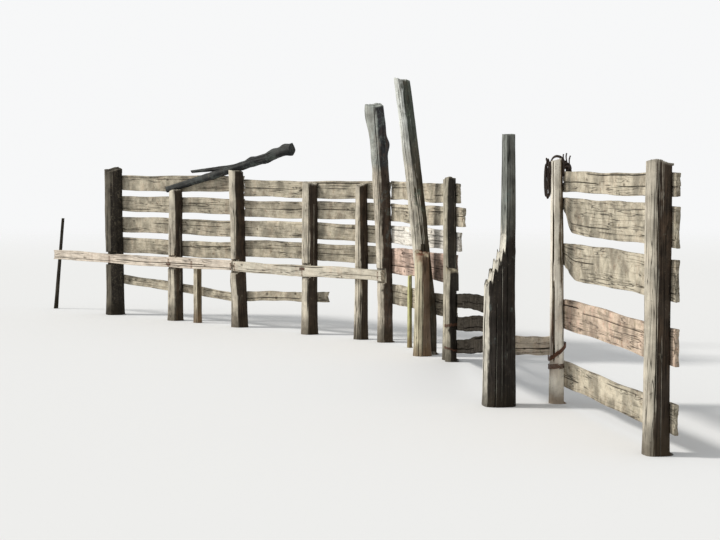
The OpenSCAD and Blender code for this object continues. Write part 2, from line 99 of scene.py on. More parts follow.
# points of a line's own frame, set out in the yard
def outOf(line, points):
    x0, y0, turn = lines[line]
    c, s = math.cos(math.radians(turn)), math.sin(math.radians(turn))
    x, y, z = points[..., 0], points[..., 1], points[..., 2]
    return np.stack([x0 + c * x - s * y, y0 + s * x + c * y, z], -1)


# points of the yard, seen in a line's own frame
def into(line, points):
    x0, y0, turn = lines[line]
    c, s = math.cos(math.radians(turn)), math.sin(math.radians(turn))
    x, y, z = points[..., 0] - x0, points[..., 1] - y0, points[..., 2]
    return np.stack([c * x + s * y, c * y - s * x, z], -1)


def sinDeg(degrees):
    return np.sin(np.radians(degrees))


def cosDeg(degrees):
    return np.cos(np.radians(degrees))


# smooth step from 0 at low to 1 at high
def ease(value, low, high):
    t = np.clip((value - low) / (high - low), 0, 1)
    return t * t * (3 - 2 * t)


# lumps from -1 to 1: random values on a unit lattice, joined by an eased blend of each cell's eight corners
def lumps(x, y, z, seed=0):
    x, y, z = np.broadcast_arrays(*(np.asarray(c, dtype=float) for c in (x, y, z)))
    base = [np.floor(c).astype(np.int64) for c in (x, y, z)]
    part = [c - b for c, b in zip((x, y, z), base)]
    part = [p * p * (3 - 2 * p) for p in part]
    total = np.zeros(x.shape)
    for corner in range(8):
        up = [(corner >> k) & 1 for k in range(3)]
        share = 1.0
        for p, u in zip(part, up):
            share = share * (p if u else 1 - p)
        key = ((base[0] + up[0]) * 73856093) ^ ((base[1] + up[1]) * 19349663) ^ ((base[2] + up[2]) * 83492791)
        key = key ^ (int(seed) * 26544357 + 1013904223)
        key = (key ^ (key >> 13)) * 1274126177
        key = key ^ (key >> 16)
        total += share * ((key & 0xFFFF) / 32767.5 - 1)
    return total


# several sizes of lumps on top of each other, each half the size and half the height of the last
def rough(x, y, z, seed=0, layers=3):
    return sum(lumps(x * 2 ** k, y * 2 ** k, z * 2 ** k, seed + 31 * k) / 2 ** k for k in range(layers)) / 1.6


# shares from 0 to 1, drawn closer together round the given places so that thin cracks keep steep walls
def spread(count, places, tight, pull=5.0, closed=True):
    fine = np.linspace(0, 1, 6001)
    density = np.ones_like(fine)
    for place in places:
        gap = np.abs(fine - place)
        if closed:
            gap = np.minimum(gap, 1 - gap)
        density += pull * np.exp(-(gap / tight) ** 2)
    total = np.concatenate([[0], np.cumsum((density[1:] + density[:-1]) / 2)])
    steps = np.arange(count) / (count if closed else count - 1)
    return np.interp(steps, total / total[-1], fine)


# how squarely the surface faces the sun, 0 to 1, the mark by which sunlight and shade are painted into the timbers'
# colour: half of one plus the dot product of the sun's direction and the normal, which is the cross product of the
# steps round a ring and along the rings
sun = {"azimuth": 254.0, "height": 24.0}


def paintedSunSide(rings, way):
    around = np.roll(rings, -1, 2) - np.roll(rings, 1, 2)
    normal = way * np.cross(around, np.gradient(rings, axis=1))
    normal /= np.maximum(np.linalg.norm(normal, axis=-1, keepdims=True), 1e-12)
    low = cosDeg(sun["height"])
    towards = np.array([low * cosDeg(sun["azimuth"]), low * sinDeg(sun["azimuth"]), sinDeg(sun["height"])])
    return 0.5 + 0.5 * (normal @ towards)


# a closed skin over rings of points: quads from ring to ring, and a fan over the first ring and over the last.
# rings has the shape (copies, rows, columns, 3) or, for one piece, (rows, columns, 3)
def skin(name, rings, marks, finish, node=None, sharp=40):
    if rings.ndim == 3:
        rings = rings[None]
        marks = {key: value[None] for key, value in marks.items()}
    copies, rows, cols = rings.shape[:3]
    ends = np.stack([rings[:, 0].mean(1), rings[:, -1].mean(1)], 1)
    points = np.concatenate([rings.reshape(copies, -1, 3), ends], 1)
    here = np.arange(rows * cols).reshape(rows, cols)
    beside = np.roll(here, -1, 1)
    quads = np.stack([here[:-1], beside[:-1], beside[1:], here[1:]], -1).reshape(-1, 4)
    foot, top = rows * cols, rows * cols + 1
    fans = np.concatenate([
        np.stack([np.full(cols, foot), beside[0], here[0]], -1),
        np.stack([np.full(cols, top), here[-1], beside[-1]], -1)])
    p = points[0]
    corners = np.concatenate([quads[:, [0, 1, 2]], quads[:, [0, 2, 3]], fans])
    volume = np.einsum("ij,ij->", p[corners[:, 0]], np.cross(p[corners[:, 1]], p[corners[:, 2]]))
    if volume < 0:
        quads, fans = quads[:, ::-1], fans[:, ::-1]
    if marks:
        # the mark of painted sunlight and painted shade, from the surface's own normals
        marks["paintedSunShare"] = paintedSunSide(rings, 1 if volume > 0 else -1)
    shift = (np.arange(copies) * points.shape[1])[:, None, None]
    faces = (quads[None] + shift).reshape(-1, 4).tolist() + (fans[None] + shift).reshape(-1, 3).tolist()
    mesh = bpy.data.meshes.new(name)
    mesh.from_pydata(points.reshape(-1, 3).tolist(), [], faces)
    for key, value in marks.items():
        wide = value.shape[3:]
        tips = np.stack([value[:, 0].mean(1), value[:, -1].mean(1)], 1)
        whole = np.concatenate([value.reshape(copies, rows * cols, *wide), tips], 1)
        layer = mesh.attributes.new(key, "FLOAT_VECTOR" if wide else "FLOAT", "POINT")
        layer.data.foreach_set("vector" if wide else "value", whole.ravel().astype(np.float32))
    mesh.shade_smooth()
    mesh.set_sharp_from_angle(angle=math.radians(sharp))
    mesh.materials.append(finish)
    piece = bpy.data.objects.new(name, mesh)
    bpy.context.scene.collection.objects.link(piece)
    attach(piece, "root")
    if node:
        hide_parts(node)
    return piece


# the camera stands where the photograph was taken, 1.6 m up in the yard, and is turned to the fence with a longer lens
camera = {"at": (11.86, -2.77, 1.60), "yaw": 171.2, "pitch": -3.3, "lens": 92.0, "sensor": 36, "reach": 200}
cameraData = bpy.data.cameras.new("yardCamera")
cameraData.lens = camera["lens"]
cameraData.sensor_width = camera["sensor"]
cameraData.clip_end = camera["reach"]
cameraObject = bpy.data.objects.new("yardCamera", cameraData)
cameraObject.location = camera["at"]
cameraObject.rotation_euler = (math.radians(90 + camera["pitch"]), 0, math.radians(camera["yaw"] - 90))
bpy.context.scene.collection.objects.link(cameraObject)
bpy.context.scene.camera = cameraObject
print("camera set")


# a colour from screen values 0 to 255, made linear
def tint(red, green, blue):
    shares = [c / 255 for c in (red, green, blue)]
    return tuple(c / 12.92 if c < 0.04045 else ((c + 0.055) / 1.055) ** 2.4 for c in shares) + (1.0,)


# a node's inputs set or linked by name or number
def feed(tree, node, inputs):
    for key, value in inputs.items():
        if isinstance(value, bpy.types.NodeSocket):
            tree.links.new(value, node.inputs[key])
        else:
            node.inputs[key].default_value = value


# a node of a tree, with its settings and its inputs
def place(tree, kind, inputs=None, **settings):
    made = tree.nodes.new("ShaderNode" + kind)
    for key, value in settings.items():
        setattr(made, key, value)
    feed(tree, made, inputs or {})
    return made


def reckon(tree, operation, a, b=0.0, clamp=False):
    return place(tree, "Math", {0: a, 1: b}, operation=operation, use_clamp=clamp).outputs[0]


def times(tree, a, b, clamp=False):
    return reckon(tree, "MULTIPLY", a, b, clamp)


def less(tree, a, b, clamp=False):
    return reckon(tree, "SUBTRACT", a, b, clamp)


def plus(tree, a, b):
    return reckon(tree, "ADD", a, b)


# a vector stretched along its three axes
def stretched(tree, vector, by):
    return place(tree, "VectorMath", {0: vector, 1: by}, operation="MULTIPLY").outputs[0]


def remap(tree, value, low, high, outLow=0.0, outHigh=1.0):
    return place(tree, "MapRange", {"Value": value, "From Min": low, "From Max": high, "To Min": outLow,
                                    "To Max": outHigh}, interpolation_type="SMOOTHSTEP").outputs[0]


def blendColour(tree, share, a, b, way="MIX"):
    return place(tree, "Mix", {0: share, 6: a, 7: b}, data_type="RGBA", blend_type=way).outputs[2]


def noiseOf(tree, vector, scale, detail=3.0, coarse=0.55, swirl=0.0):
    return place(tree, "TexNoise", {"Vector": vector, "Scale": scale, "Detail": detail, "Roughness": coarse,
                                    "Distortion": swirl}).outputs["Fac"]


# an empty shader group with the given sockets, each (name, kind, value)
def newGroup(name, inputs, outputs):
    tree = bpy.data.node_groups.new(name, "ShaderNodeTree")
    kinds = {"value": "NodeSocketFloat", "vector": "NodeSocketVector"}
    for label, kind, value in inputs:
        socket = tree.interface.new_socket(label, in_out="INPUT", socket_type=kinds[kind])
        if value is not None:
            socket.default_value = value
    for label in outputs:
        tree.interface.new_socket(label, in_out="OUTPUT", socket_type=kinds["value"])
    return tree, tree.nodes.new("NodeGroupInput").outputs, tree.nodes.new("NodeGroupOutput").inputs


# streaks and fine fibres drawn out along the grain, and the year rings round the trunk's heart
def makeTimberGrain():
    tree, got, give = newGroup("timberGrain", [("Grain", "vector", None), ("Across", "value", 70.0),
                                               ("Along", "value", 2.2)], ["Streaks", "Fibres", "Rings"])
    stretch = place(tree, "CombineXYZ", {0: got["Across"], 1: got["Across"], 2: got["Along"]}).outputs[0]
    drawn = stretched(tree, got["Grain"], stretch)
    tree.links.new(remap(tree, noiseOf(tree, drawn, 1.0, 4.0, 0.6, 0.5), 0.30, 0.70), give["Streaks"])
    tree.links.new(remap(tree, noiseOf(tree, drawn, 4.3, 3.0, 0.6), 0.28, 0.72), give["Fibres"])
    flat = stretched(tree, got["Grain"], (1.0, 1.0, 0.02))
    reach = place(tree, "VectorMath", {0: flat}, operation="LENGTH").outputs["Value"]
    wobble = noiseOf(tree, flat, 22.0, 2.0)
    phase = plus(tree, times(tree, reach, 1500.0), times(tree, wobble, 9.0))
    wave = reckon(tree, "SINE", phase)
    tree.links.new(remap(tree, wave, -0.2, 0.95), give["Rings"])
    return tree


# thin drying checks along the grain, a mask for the bump and for dark lines of painted shade in the cracks: where a
# stretched noise crosses its middle, and only here and there
def makeDryingChecks():
    tree, got, give = newGroup("dryingChecks", [("Grain", "vector", None), ("Width", "value", 0.02),
                                                ("Plenty", "value", 0.5)], ["Checks"])
    drawn = stretched(tree, got["Grain"], (42.0, 42.0, 1.5))
    off = reckon(tree, "ABSOLUTE", less(tree, noiseOf(tree, drawn, 1.0, 2.0, 0.5, 0.35), 0.5))
    line = less(tree, 1.0, reckon(tree, "DIVIDE", off, got["Width"], clamp=True))
    patch = noiseOf(tree, stretched(tree, got["Grain"], (11.0, 11.0, 1.1)), 1.0, 2.0)
    level = less(tree, 1.0, got["Plenty"])
    here = times(tree, less(tree, patch, level), 12.0, clamp=True)
    tree.links.new(times(tree, line, here), give["Checks"])
    return tree


# soft patches of weather, and smaller blotches inside them
def makeWeatherPatches():
    tree, got, give = newGroup("weatherPatches", [("Position", "vector", None), ("Scale", "value", 3.0)],
                               ["Patches", "Blotches"])
    low = stretched(tree, got["Position"], (1.0, 1.0, 0.45))
    first = place(tree, "TexNoise", {"Vector": low, "Scale": got["Scale"], "Detail": 4.0, "Roughness": 0.6})
    tree.links.new(remap(tree, first.outputs["Fac"], 0.36, 0.64), give["Patches"])
    second = place(tree, "TexNoise", {"Vector": low, "Scale": times(tree, got["Scale"], 6.0),
                                      "Detail": 5.0, "Roughness": 0.68})
    tree.links.new(remap(tree, second.outputs["Fac"], 0.44, 0.60), give["Blotches"])
    return tree


# small specks of two sizes, and a slow value that chooses their colour
def makeSpecks():
    tree, got, give = newGroup("specks", [("Position", "vector", None), ("Plenty", "value", 0.5)], ["Specks", "Kind"])
    level = less(tree, 0.74, times(tree, got["Plenty"], 0.22))
    large, small = [times(tree, less(tree, noiseOf(tree, got["Position"], *size), level), 14.0, clamp=True)
                    for size in ((30.0, 3.0, 0.6, 0.8), (85.0, 2.0, 0.5, 0.4))]
    tree.links.new(reckon(tree, "MAXIMUM", large, small), give["Specks"])
    tree.links.new(remap(tree, noiseOf(tree, got["Position"], 13.0, 2.0), 0.36, 0.64), give["Kind"])
    return tree


# crusts of lichen: rounded scales inside larger colonies
def makeLichenCrust():
    tree, got, give = newGroup("lichenCrust", [("Position", "vector", None), ("Amount", "value", 0.5)],
                               ["Crust", "Grit"])
    colony = noiseOf(tree, got["Position"], 8.0, 6.0, 0.7, 0.6)
    cells = place(tree, "TexVoronoi", {"Vector": got["Position"], "Scale": 60.0}, feature="SMOOTH_F1")
    scales = cells.outputs["Distance"]
    level = less(tree, 0.86, times(tree, got["Amount"], 0.55))
    grown = less(tree, less(tree, colony, times(tree, scales, 0.13)), less(tree, level, 0.10))
    tree.links.new(times(tree, grown, 14.0, clamp=True), give["Crust"])
    tree.links.new(less(tree, 1.0, scales, clamp=True), give["Grit"])
    return tree


# damp at the foot: full at the ground and gone at the given height, with a torn upper edge
def makeGroundDamp():
    tree, got, give = newGroup("groundDamp", [("Position", "vector", None), ("Height", "value", 0.25)], ["Damp"])
    height = place(tree, "SeparateXYZ", {0: got["Position"]}).outputs[2]
    torn = times(tree, less(tree, noiseOf(tree, got["Position"], 14.0, 4.0, 0.6), 0.5), 0.8)
    share = less(tree, 1.0, reckon(tree, "DIVIDE", height, got["Height"]))
    tree.links.new(remap(tree, plus(tree, share, torn), 0.0, 0.9), give["Damp"])
    return tree


timberGrain = makeTimberGrain()
dryingChecks = makeDryingChecks()
weatherPatches = makeWeatherPatches()
lichenCrust = makeLichenCrust()
specks = makeSpecks()
groundDamp = makeGroundDamp()


def placeGroup(tree, group, inputs):
    made = tree.nodes.new("ShaderNodeGroup")
    made.node_tree = group
    feed(tree, made, inputs)
    return made.outputs


# a new material with its tree and shader
def newMaterial(name):
    made = bpy.data.materials.new(name)
    made.use_nodes = True
    return made, made.node_tree, made.node_tree.nodes["Principled BSDF"]


# the looks of the timbers, colours as seen on a screen: for the sides towards the sun and away from it a painted sunlit
# colour and a painted shade colour, partly the sun's bleaching, the same two for the crown above a height, streaks,
# blush, specks, lichen and damp
darkPost = {
    "sun": (196, 188, 168), "shade": (60, 56, 50), "streak": (42, 38, 34), "shine": 0.08,
    "blush": (104, 88, 72), "blushShare": 0.25,
    "specks": ((120, 112, 96), (92, 84, 70)), "speckShare": 0.35, "lichen": (108, 112, 98), "lichenShare": 0.32,
    "damp": (44, 38, 28), "dampHeight": 0.20, "across": 58.0, "along": 1.5, "streakShare": 0.74, "checks": 0.58,
    "checkWidth": 0.030, "sunLow": 0.50, "sunWidth": 0.12, "crown": (8.0, 9.0), "crownSun": (0, 0, 0),
    "crownShade": (0, 0, 0), "mottle": (0.70, 1.16)}
greyPost = {
    **darkPost, "sun": (218, 209, 190), "shade": (70, 61, 52), "streak": (54, 46, 39), "blush": (140, 112, 88),
    "blushShare": 0.40, "lichen": (126, 128, 112), "damp": (58, 48, 34), "dampHeight": 0.24, "streakShare": 0.62,
    "sunLow": 0.45, "sunWidth": 0.13, "mottle": (0.74, 1.14)}
palePost = {
    **greyPost, "sun": (210, 200, 177), "shade": (108, 97, 78), "streak": (104, 90, 68), "blush": (178, 138, 104),
    "blushShare": 0.30, "lichen": (146, 146, 116), "lichenShare": 0.22, "damp": (112, 90, 66), "dampHeight": 0.26,
    "streakShare": 0.50, "sunLow": 0.38, "sunWidth": 0.15, "mottle": (0.82, 1.10)}
paleBoard = {
    **palePost, "sun": (203, 194, 173), "shade": (170, 161, 142), "streak": (112, 99, 80), "blush": (176, 146, 122),
    "blushShare": 0.60, "specks": ((140, 108, 86), (124, 122, 92)), "speckShare": 0.62, "lichen": (142, 142, 122),
    "damp": (98, 82, 60), "dampHeight": 0.20, "across": 62.0, "along": 1.4, "streakShare": 0.66, "checks": 0.58,
    "checkWidth": 0.028, "sunLow": 0.36, "sunWidth": 0.30, "mottle": (0.56, 1.18)}
timberLooks = {
    "dark_post": darkPost, "grey_post": greyPost, "pale_post": palePost, "pale_board": paleBoard,
    "lichen_post": {**greyPost, "sun": (184, 178, 160), "shade": (94, 88, 75), "lichenShare": 0.60},
    "warm_board": {**paleBoard, "sun": (224, 199, 182), "shade": (132, 112, 96), "streak": (122, 94, 76),
                   "blush": (202, 164, 142), "blushShare": 0.70, "specks": ((168, 124, 102), (206, 180, 158))},
    # the gateway rails are painted dark all over, as the shade they stand in
    "dark_rail": {**darkPost, "sun": (66, 62, 56), "shade": (72, 68, 60), "streak": (42, 38, 33),
                  "speckShare": 0.20, "shine": 0.0, "sunLow": 0.45, "sunWidth": 0.30},
    "end_post": {**darkPost, "sun": (112, 106, 94), "shade": (58, 54, 49), "speckShare": 0.75, "sunLow": 0.52},
    "corner_post": {
        **greyPost, "sun": (210, 201, 183), "shade": (78, 68, 60), "blush": (132, 102, 84), "blushShare": 0.50,
        "crown": (1.50, 1.66), "crownSun": (180, 184, 176), "crownShade": (56, 61, 66), "lichen": (98, 104, 100),
        "lichenShare": 0.50, "sunLow": 0.41, "sunWidth": 0.10, "streakShare": 0.62},
    "tall_post": {
        **greyPost, "sun": (220, 213, 196), "shade": (86, 80, 68), "streak": (64, 60, 48), "streakShare": 0.36,
        "crown": (1.35, 2.05), "crownSun": (228, 231, 224), "crownShade": (84, 91, 84), "lichen": (112, 120, 106),
        "lichenShare": 0.46, "sunLow": 0.36, "sunWidth": 0.08, "blushShare": 0.30},
    "short_post": {
        **palePost, "sun": (216, 208, 180), "shade": (118, 101, 89), "crown": (0.80, 0.88), "crownSun": (128, 84, 66),
        "crownShade": (78, 52, 43), "dampHeight": 0.14, "sunLow": 0.35, "sunWidth": 0.08, "blushShare": 0.20},
    "thin_pole": {
        **palePost, "sun": (212, 209, 154), "shade": (122, 120, 80), "streak": (116, 108, 66),
        "lichen": (150, 156, 104), "lichenShare": 0.45, "blushShare": 0.15},
    "gate_stub": {**darkPost, "crown": (0.72, 0.76), "crownSun": (190, 178, 152), "crownShade": (150, 136, 112)},
    # the broad stile post: its front painted in deep shade, only its left edge painted sunlit
    "stile_post": {
        **darkPost, "sun": (222, 216, 200), "shade": (58, 54, 50), "crown": (1.08, 1.26), "crownSun": (140, 143, 136),
        "crownShade": (128, 130, 123), "sunLow": 0.79, "sunWidth": 0.08, "lichen": (116, 128, 124),
        "lichenShare": 0.42},
    # the plain stile post: painted sunlight over most of its face, painted shade only on its right edge
    "stile_side_post": {
        **palePost, "sun": (250, 243, 227), "shade": (104, 92, 76), "sunLow": 0.22, "sunWidth": 0.10,
        "streakShare": 0.32, "dampHeight": 0.16, "mottle": (0.88, 1.08)},
    "bay_board_3": {**paleBoard, "sun": (246, 241, 230), "shade": (158, 148, 130), "blushShare": 0.20,
                    "mottle": (0.80, 1.08)},
    "near_board_4": {**paleBoard, "sun": (204, 185, 165), "blush": (198, 150, 134), "blushShare": 0.75,
                     "specks": ((176, 130, 110), (140, 134, 100)), "speckShare": 0.70},
    "front_rail_far": {**paleBoard, "sun": (217, 205, 189), "blush": (204, 178, 160), "blushShare": 0.45,
                       "streakShare": 0.40, "speckShare": 0.40, "mottle": (0.80, 1.10)},
    "front_rail_near": {**paleBoard, "sun": (206, 199, 182), "streakShare": 0.40, "speckShare": 0.40,
                        "mottle": (0.80, 1.10)},
    # the step board takes its painted sunlit colour on every side
    "step_board": {**paleBoard, "sunLow": -0.5, "sun": (214, 203, 186), "mottle": (0.72, 1.12)},
    "fallen_bough": {**darkPost, "sun": (80, 81, 79), "shade": (50, 52, 54), "streak": (34, 34, 34),
                     "lichen": (88, 94, 90), "lichenShare": 0.55, "sunLow": 0.55, "sunWidth": 0.30},
}


# weathered timber: the sun-facing mark mixes its two sides, a painted sunlit colour and a painted shade colour, partly
# the sun's bleaching, the height its crown, and over them lie mottling, streaks and rings, specks, checks and fissures
# painted dark as shade, lichen, damp and rust
def makeTimber(name, look):
    made, tree, shader = newMaterial(name)
    shader.inputs["Specular IOR Level"].default_value = look["shine"]
    mark = {key: place(tree, "Attribute", attribute_name=key).outputs
            for key in ("grain", "paintedSunShare", "fissure", "bare", "knot", "rust", "tone")}
    position = place(tree, "TexCoord").outputs["Object"]
    height = place(tree, "SeparateXYZ", {0: position}).outputs[2]
    grain = mark["grain"]["Vector"]
    wood = placeGroup(tree, timberGrain, {"Grain": grain, "Across": look["across"], "Along": look["along"]})
    checks = placeGroup(tree, dryingChecks, {"Grain": grain, "Width": look["checkWidth"],
                                             "Plenty": look["checks"]})["Checks"]
    weather = placeGroup(tree, weatherPatches, {"Position": position, "Scale": 3.2})
    crust = placeGroup(tree, lichenCrust, {"Position": position, "Amount": look["lichenShare"]})
    damp = placeGroup(tree, groundDamp, {"Position": position, "Height": look["dampHeight"]})["Damp"]
    dots = placeGroup(tree, specks, {"Position": position, "Plenty": look["speckShare"]})

    torn = times(tree, less(tree, noiseOf(tree, grain, 9.0, 3.0), 0.5), 0.30)
    crown = remap(tree, plus(tree, height, torn), *look["crown"])
    drift = times(tree, less(tree, noiseOf(tree, position, 7.0, 4.0, 0.6), 0.5), 0.24)
    # the share of painted sunlight: where it is low the timber takes its painted shade colour
    paintedSunShare = remap(tree, plus(tree, mark["paintedSunShare"]["Fac"], drift), look["sunLow"],
                  look["sunLow"] + look["sunWidth"])
    # the two painted copies of the colour, in shade and in sunlight, each with its own crown
    paintedShadeTint = blendColour(tree, crown, tint(*look["shade"]), tint(*look["crownShade"]))
    paintedSunTint = blendColour(tree, crown, tint(*look["sun"]), tint(*look["crownSun"]))
    colour = blendColour(tree, paintedSunShare, paintedShadeTint, paintedSunTint)
    blush = times(tree, weather["Blotches"], look["blushShare"])
    colour = blendColour(tree, times(tree, blush, weather["Patches"]), colour,
                         blendColour(tree, 0.65, colour, tint(*look["blush"])))
    # streaks take on the painted sunlit colour on the side towards the sun
    streak = blendColour(tree, times(tree, paintedSunShare, 0.6), tint(*look["streak"]), paintedSunTint)
    lineShare = times(tree, wood["Streaks"], look["streakShare"])
    colour = blendColour(tree, lineShare, colour, blendColour(tree, 0.7, colour, streak))
    colour = blendColour(tree, times(tree, wood["Fibres"], 0.30), colour, streak)
    colour = blendColour(tree, times(tree, wood["Rings"], 0.14), colour, tint(*look["streak"]))
    paleEnd = blendColour(tree, times(tree, wood["Rings"], 0.55), paintedSunTint, tint(*look["streak"]))
    colour = blendColour(tree, times(tree, mark["bare"]["Fac"], 0.55), colour, paleEnd)
    speckTint = blendColour(tree, dots["Kind"], tint(*look["specks"][0]), tint(*look["specks"][1]))
    colour = blendColour(tree, times(tree, dots["Specks"], 0.55), colour, speckTint)
    colour = blendColour(tree, mark["knot"]["Fac"], colour, tint(*[0.62 * c for c in look["streak"]]))
    growth = times(tree, crust["Crust"], remap(tree, height, 0.2, 1.3, 0.35, 1.0))
    growth = times(tree, growth, less(tree, 1.0, times(tree, paintedSunShare, 0.5)))
    crustColour = blendColour(tree, crust["Grit"], tint(*[0.6 * c for c in look["lichen"]]), tint(*look["lichen"]))
    colour = blendColour(tree, times(tree, growth, 0.8), colour, crustColour)
    colour = blendColour(tree, times(tree, damp, 0.75), colour, tint(*look["damp"]))
    colour = blendColour(tree, mark["rust"]["Fac"], colour, tint(94, 56, 34))
    # checks and fissures painted near black: painted shade in the cracks
    dark = reckon(tree, "MAXIMUM", times(tree, checks, 0.85), mark["fissure"]["Fac"])
    colour = blendColour(tree, dark, colour, tint(24, 20, 16))
    mottle = remap(tree, noiseOf(tree, position, 8.0, 5.0, 0.62, 0.3), 0.34, 0.66, *look["mottle"])
    value = times(tree, mark["tone"]["Fac"], mottle)
    colour = place(tree, "HueSaturation", {"Value": value, "Color": colour}).outputs[0]
    tree.links.new(colour, shader.inputs["Base Color"])

    gloss = plus(tree, times(tree, wood["Fibres"], 0.14), 0.76)
    tree.links.new(less(tree, gloss, times(tree, damp, 0.18)), shader.inputs["Roughness"])
    relief = less(tree, times(tree, wood["Fibres"], -0.35), times(tree, wood["Streaks"], 0.55))
    relief = less(tree, relief, times(tree, checks, 1.4))
    relief = plus(tree, relief, times(tree, growth, crust["Grit"]))
    bump = place(tree, "Bump", {"Height": relief, "Strength": 0.8, "Distance": 0.0016})
    tree.links.new(bump.outputs[0], shader.inputs["Normal"])
    return made


# rusted iron of nails and wire: brown scale with darker pits
def makeIron(name, scaleTint, rustTint, pitTint):
    made, tree, shader = newMaterial(name)
    shader.inputs["Metallic"].default_value = 0.25
    position = place(tree, "TexCoord").outputs["Object"]
    scale = noiseOf(tree, position, 140.0, 4.0, 0.65)
    pits = noiseOf(tree, position, 420.0, 3.0, 0.6)
    colour = blendColour(tree, remap(tree, scale, 0.35, 0.65), tint(*scaleTint), tint(*rustTint))
    colour = blendColour(tree, remap(tree, pits, 0.52, 0.66), colour, tint(*pitTint))
    tree.links.new(colour, shader.inputs["Base Color"])
    tree.links.new(remap(tree, pits, 0.3, 0.7, 0.55, 0.85), shader.inputs["Roughness"])
    bump = place(tree, "Bump", {"Height": scale, "Strength": 0.6, "Distance": 0.0006})
    tree.links.new(bump.outputs[0], shader.inputs["Normal"])
    return made


timber = {name: makeTimber(name + "_wood", look) for name, look in timberLooks.items()}
rustyIron = makeIron("rusty_iron", (66, 44, 32), (118, 74, 46), (34, 28, 26))
darkIron = makeIron("dark_iron", (38, 34, 31), (70, 52, 40), (22, 20, 19))
slotOf = {part["node"]: part["material_slot"] for part in frame["record"]["subparts"]}


# a node's own finish where it has one, or else its slot's
def finishOf(node):
    return timber.get(node, timber[slotOf[node]])


print("finishes made:", len(timber) + 2)


# the ridges of a split trunk as a share of its radius: slow lobes, and two ridges that wind up it
def barkShare(angle, t, seed):
    return (0.04 * sinDeg(2 * angle + 130 * t + 70 * seed) + 0.03 * sinDeg(3 * angle - 220 * t + 110 * seed)
            + 0.02 * sinDeg(5 * angle + 480 * t + 35 * seed))


# half the width of a squarish section at an angle: 2 is an ellipse, 4 nearly a square
def sectionRadius(angle, halfX, halfY, square):
    return ((np.abs(cosDeg(angle)) / halfX) ** square + (np.abs(sinDeg(angle)) / halfY) ** square) ** (-1 / square)


# the height of the torn top at an angle
def tornTop(angle, log):
    wave = 0.5 + 0.38 * sinDeg(angle + 50 * log["seed"]) + 0.12 * sinDeg(3 * angle + 90 * log["seed"])
    return log["height"] - log["tear"] * wave


# long drying fissures: each a narrow groove at one share of the girth, fading in and out along the timber, and a share
# by which the groove is painted dark as shade
def fissures(share, along, cracks, girth, closed=True):
    deep, dark = np.zeros(np.broadcast(share, along).shape), np.zeros(np.broadcast(share, along).shape)
    for crack in cracks:
        gap = np.abs(share - crack["share"])
        if closed:
            gap = np.minimum(gap, 1 - gap)
        run = ease(along, crack["low"] - 0.10, crack["low"]) * (1 - ease(along, crack["high"], crack["high"] + 0.10))
        run = run * (0.8 + 0.2 * lumps(along * 11, crack["share"] * 50, 0, 5))
        width = crack["width"] * (0.35 + 0.65 * run)
        groove = np.clip(1 - gap * girth / width, 0, 1) ** 0.6 * run
        deep = np.maximum(deep, crack["deep"] * groove)
        dark = np.maximum(dark, ease(groove, 0.05, 0.75))
    return deep, dark


# small knots: the fibres bow round each, its heart is dark, and it stands a little proud
def knotSpots(across, along, spots):
    bowed, heart, rise = across.copy(), np.zeros(across.shape), np.zeros(across.shape)
    for spot in spots:
        dx, dz = across - spot["across"], (along - spot["along"]) / 1.5
        far = np.sqrt(dx ** 2 + dz ** 2) / spot["size"]
        bowed = bowed - np.sign(dx) * spot["size"] * 0.9 * np.exp(-(far / 1.8) ** 2) * np.minimum(1, np.abs(dx) / 0.004)
        heart = np.maximum(heart, 1 - ease(far, 0.35, 0.95))
        rise = rise + spot["size"] * 0.22 * np.exp(-(far / 1.1) ** 2)
    return bowed, heart, rise


logDefaults = {
    "taper": 0.12, "lean": (0, 0), "bend": 1, "square": 2.4, "tear": 0.03, "swell": 0.1, "knots": [], "line": "yard",
    "twist": 7.0, "cols": 116, "rows": 92, "flutes": 0.0035, "fibres": 0.0012, "splinters": 0.010, "lumpy": 0.0015,
    "cuts": [], "cracks": None, "foot": None, "tip": None, "crackCount": 4, "stains": []}

# the bough that fell across the fence: where its thin end lies in bays before the corner, its length in bays, its
# depth below the top of the boards, its rise in degrees and its two widths; then the limb and the stump on it
bough = {"from": 3.12, "bays": 1.95, "drop": 0.110, "rise": 11.0, "thin": 0.066, "thick": 0.094, "saddle": 0.020,
         "limbAt": 0.62, "limbShare": 0.42, "limbTurn": 187.0, "stumpAt": 0.86, "stumpTurn": -70.0, "side": 0.052}


# height of the bough's underside above a post, a number of bays before the corner
def boughUnder(bays):
    gone = bough["from"] - bays
    return fence["height"] - bough["drop"] + gone * fence["bay"] * math.tan(math.radians(bough["rise"])) \
        - (bough["thin"] + (bough["thick"] - bough["thin"]) * gone / bough["bays"]) / 2


railHousing = (fence["frontRailZ"] - fence["frontRailWidth"] / 2 - fence["housingRoom"],
               fence["frontRailZ"] + fence["frontRailWidth"] / 2 + fence["housingRoom"])
runCuts = [("run", "back", bear, 0, fence["height"] + fence["runShoulder"]), ("run", "front", frontPlane, *railHousing)]
bayCuts = [("bay", "back", bear, 0, fence["height"] + fence["bayShoulder"])]
gatewayCuts = [("gateway", "back", gatePlane, 0, railsTop + 2 * fence["housingRoom"])]
nearCuts = [("yard", "back", nearPlane, 0, fence["nearHeight"] + fence["nearShoulder"])]
stepCut = ("yard", "far", fence["stepPlane"], fence["stepZ"] - fence["stepWidth"] / 2 - fence["housingRoom"],
           fence["stepZ"] + fence["stepWidth"] / 2 + fence["housingRoom"])
saddleCut = ("run", "saddle", 0, 0, 9)


def runPost(bays, width, height, lean, seed, **more):
    return {"line": "run", "at": (-bays * fence["bay"], postY(bear, width)), "width": width, "height": height,
            "lean": lean, "seed": seed, "cuts": runCuts, **more}


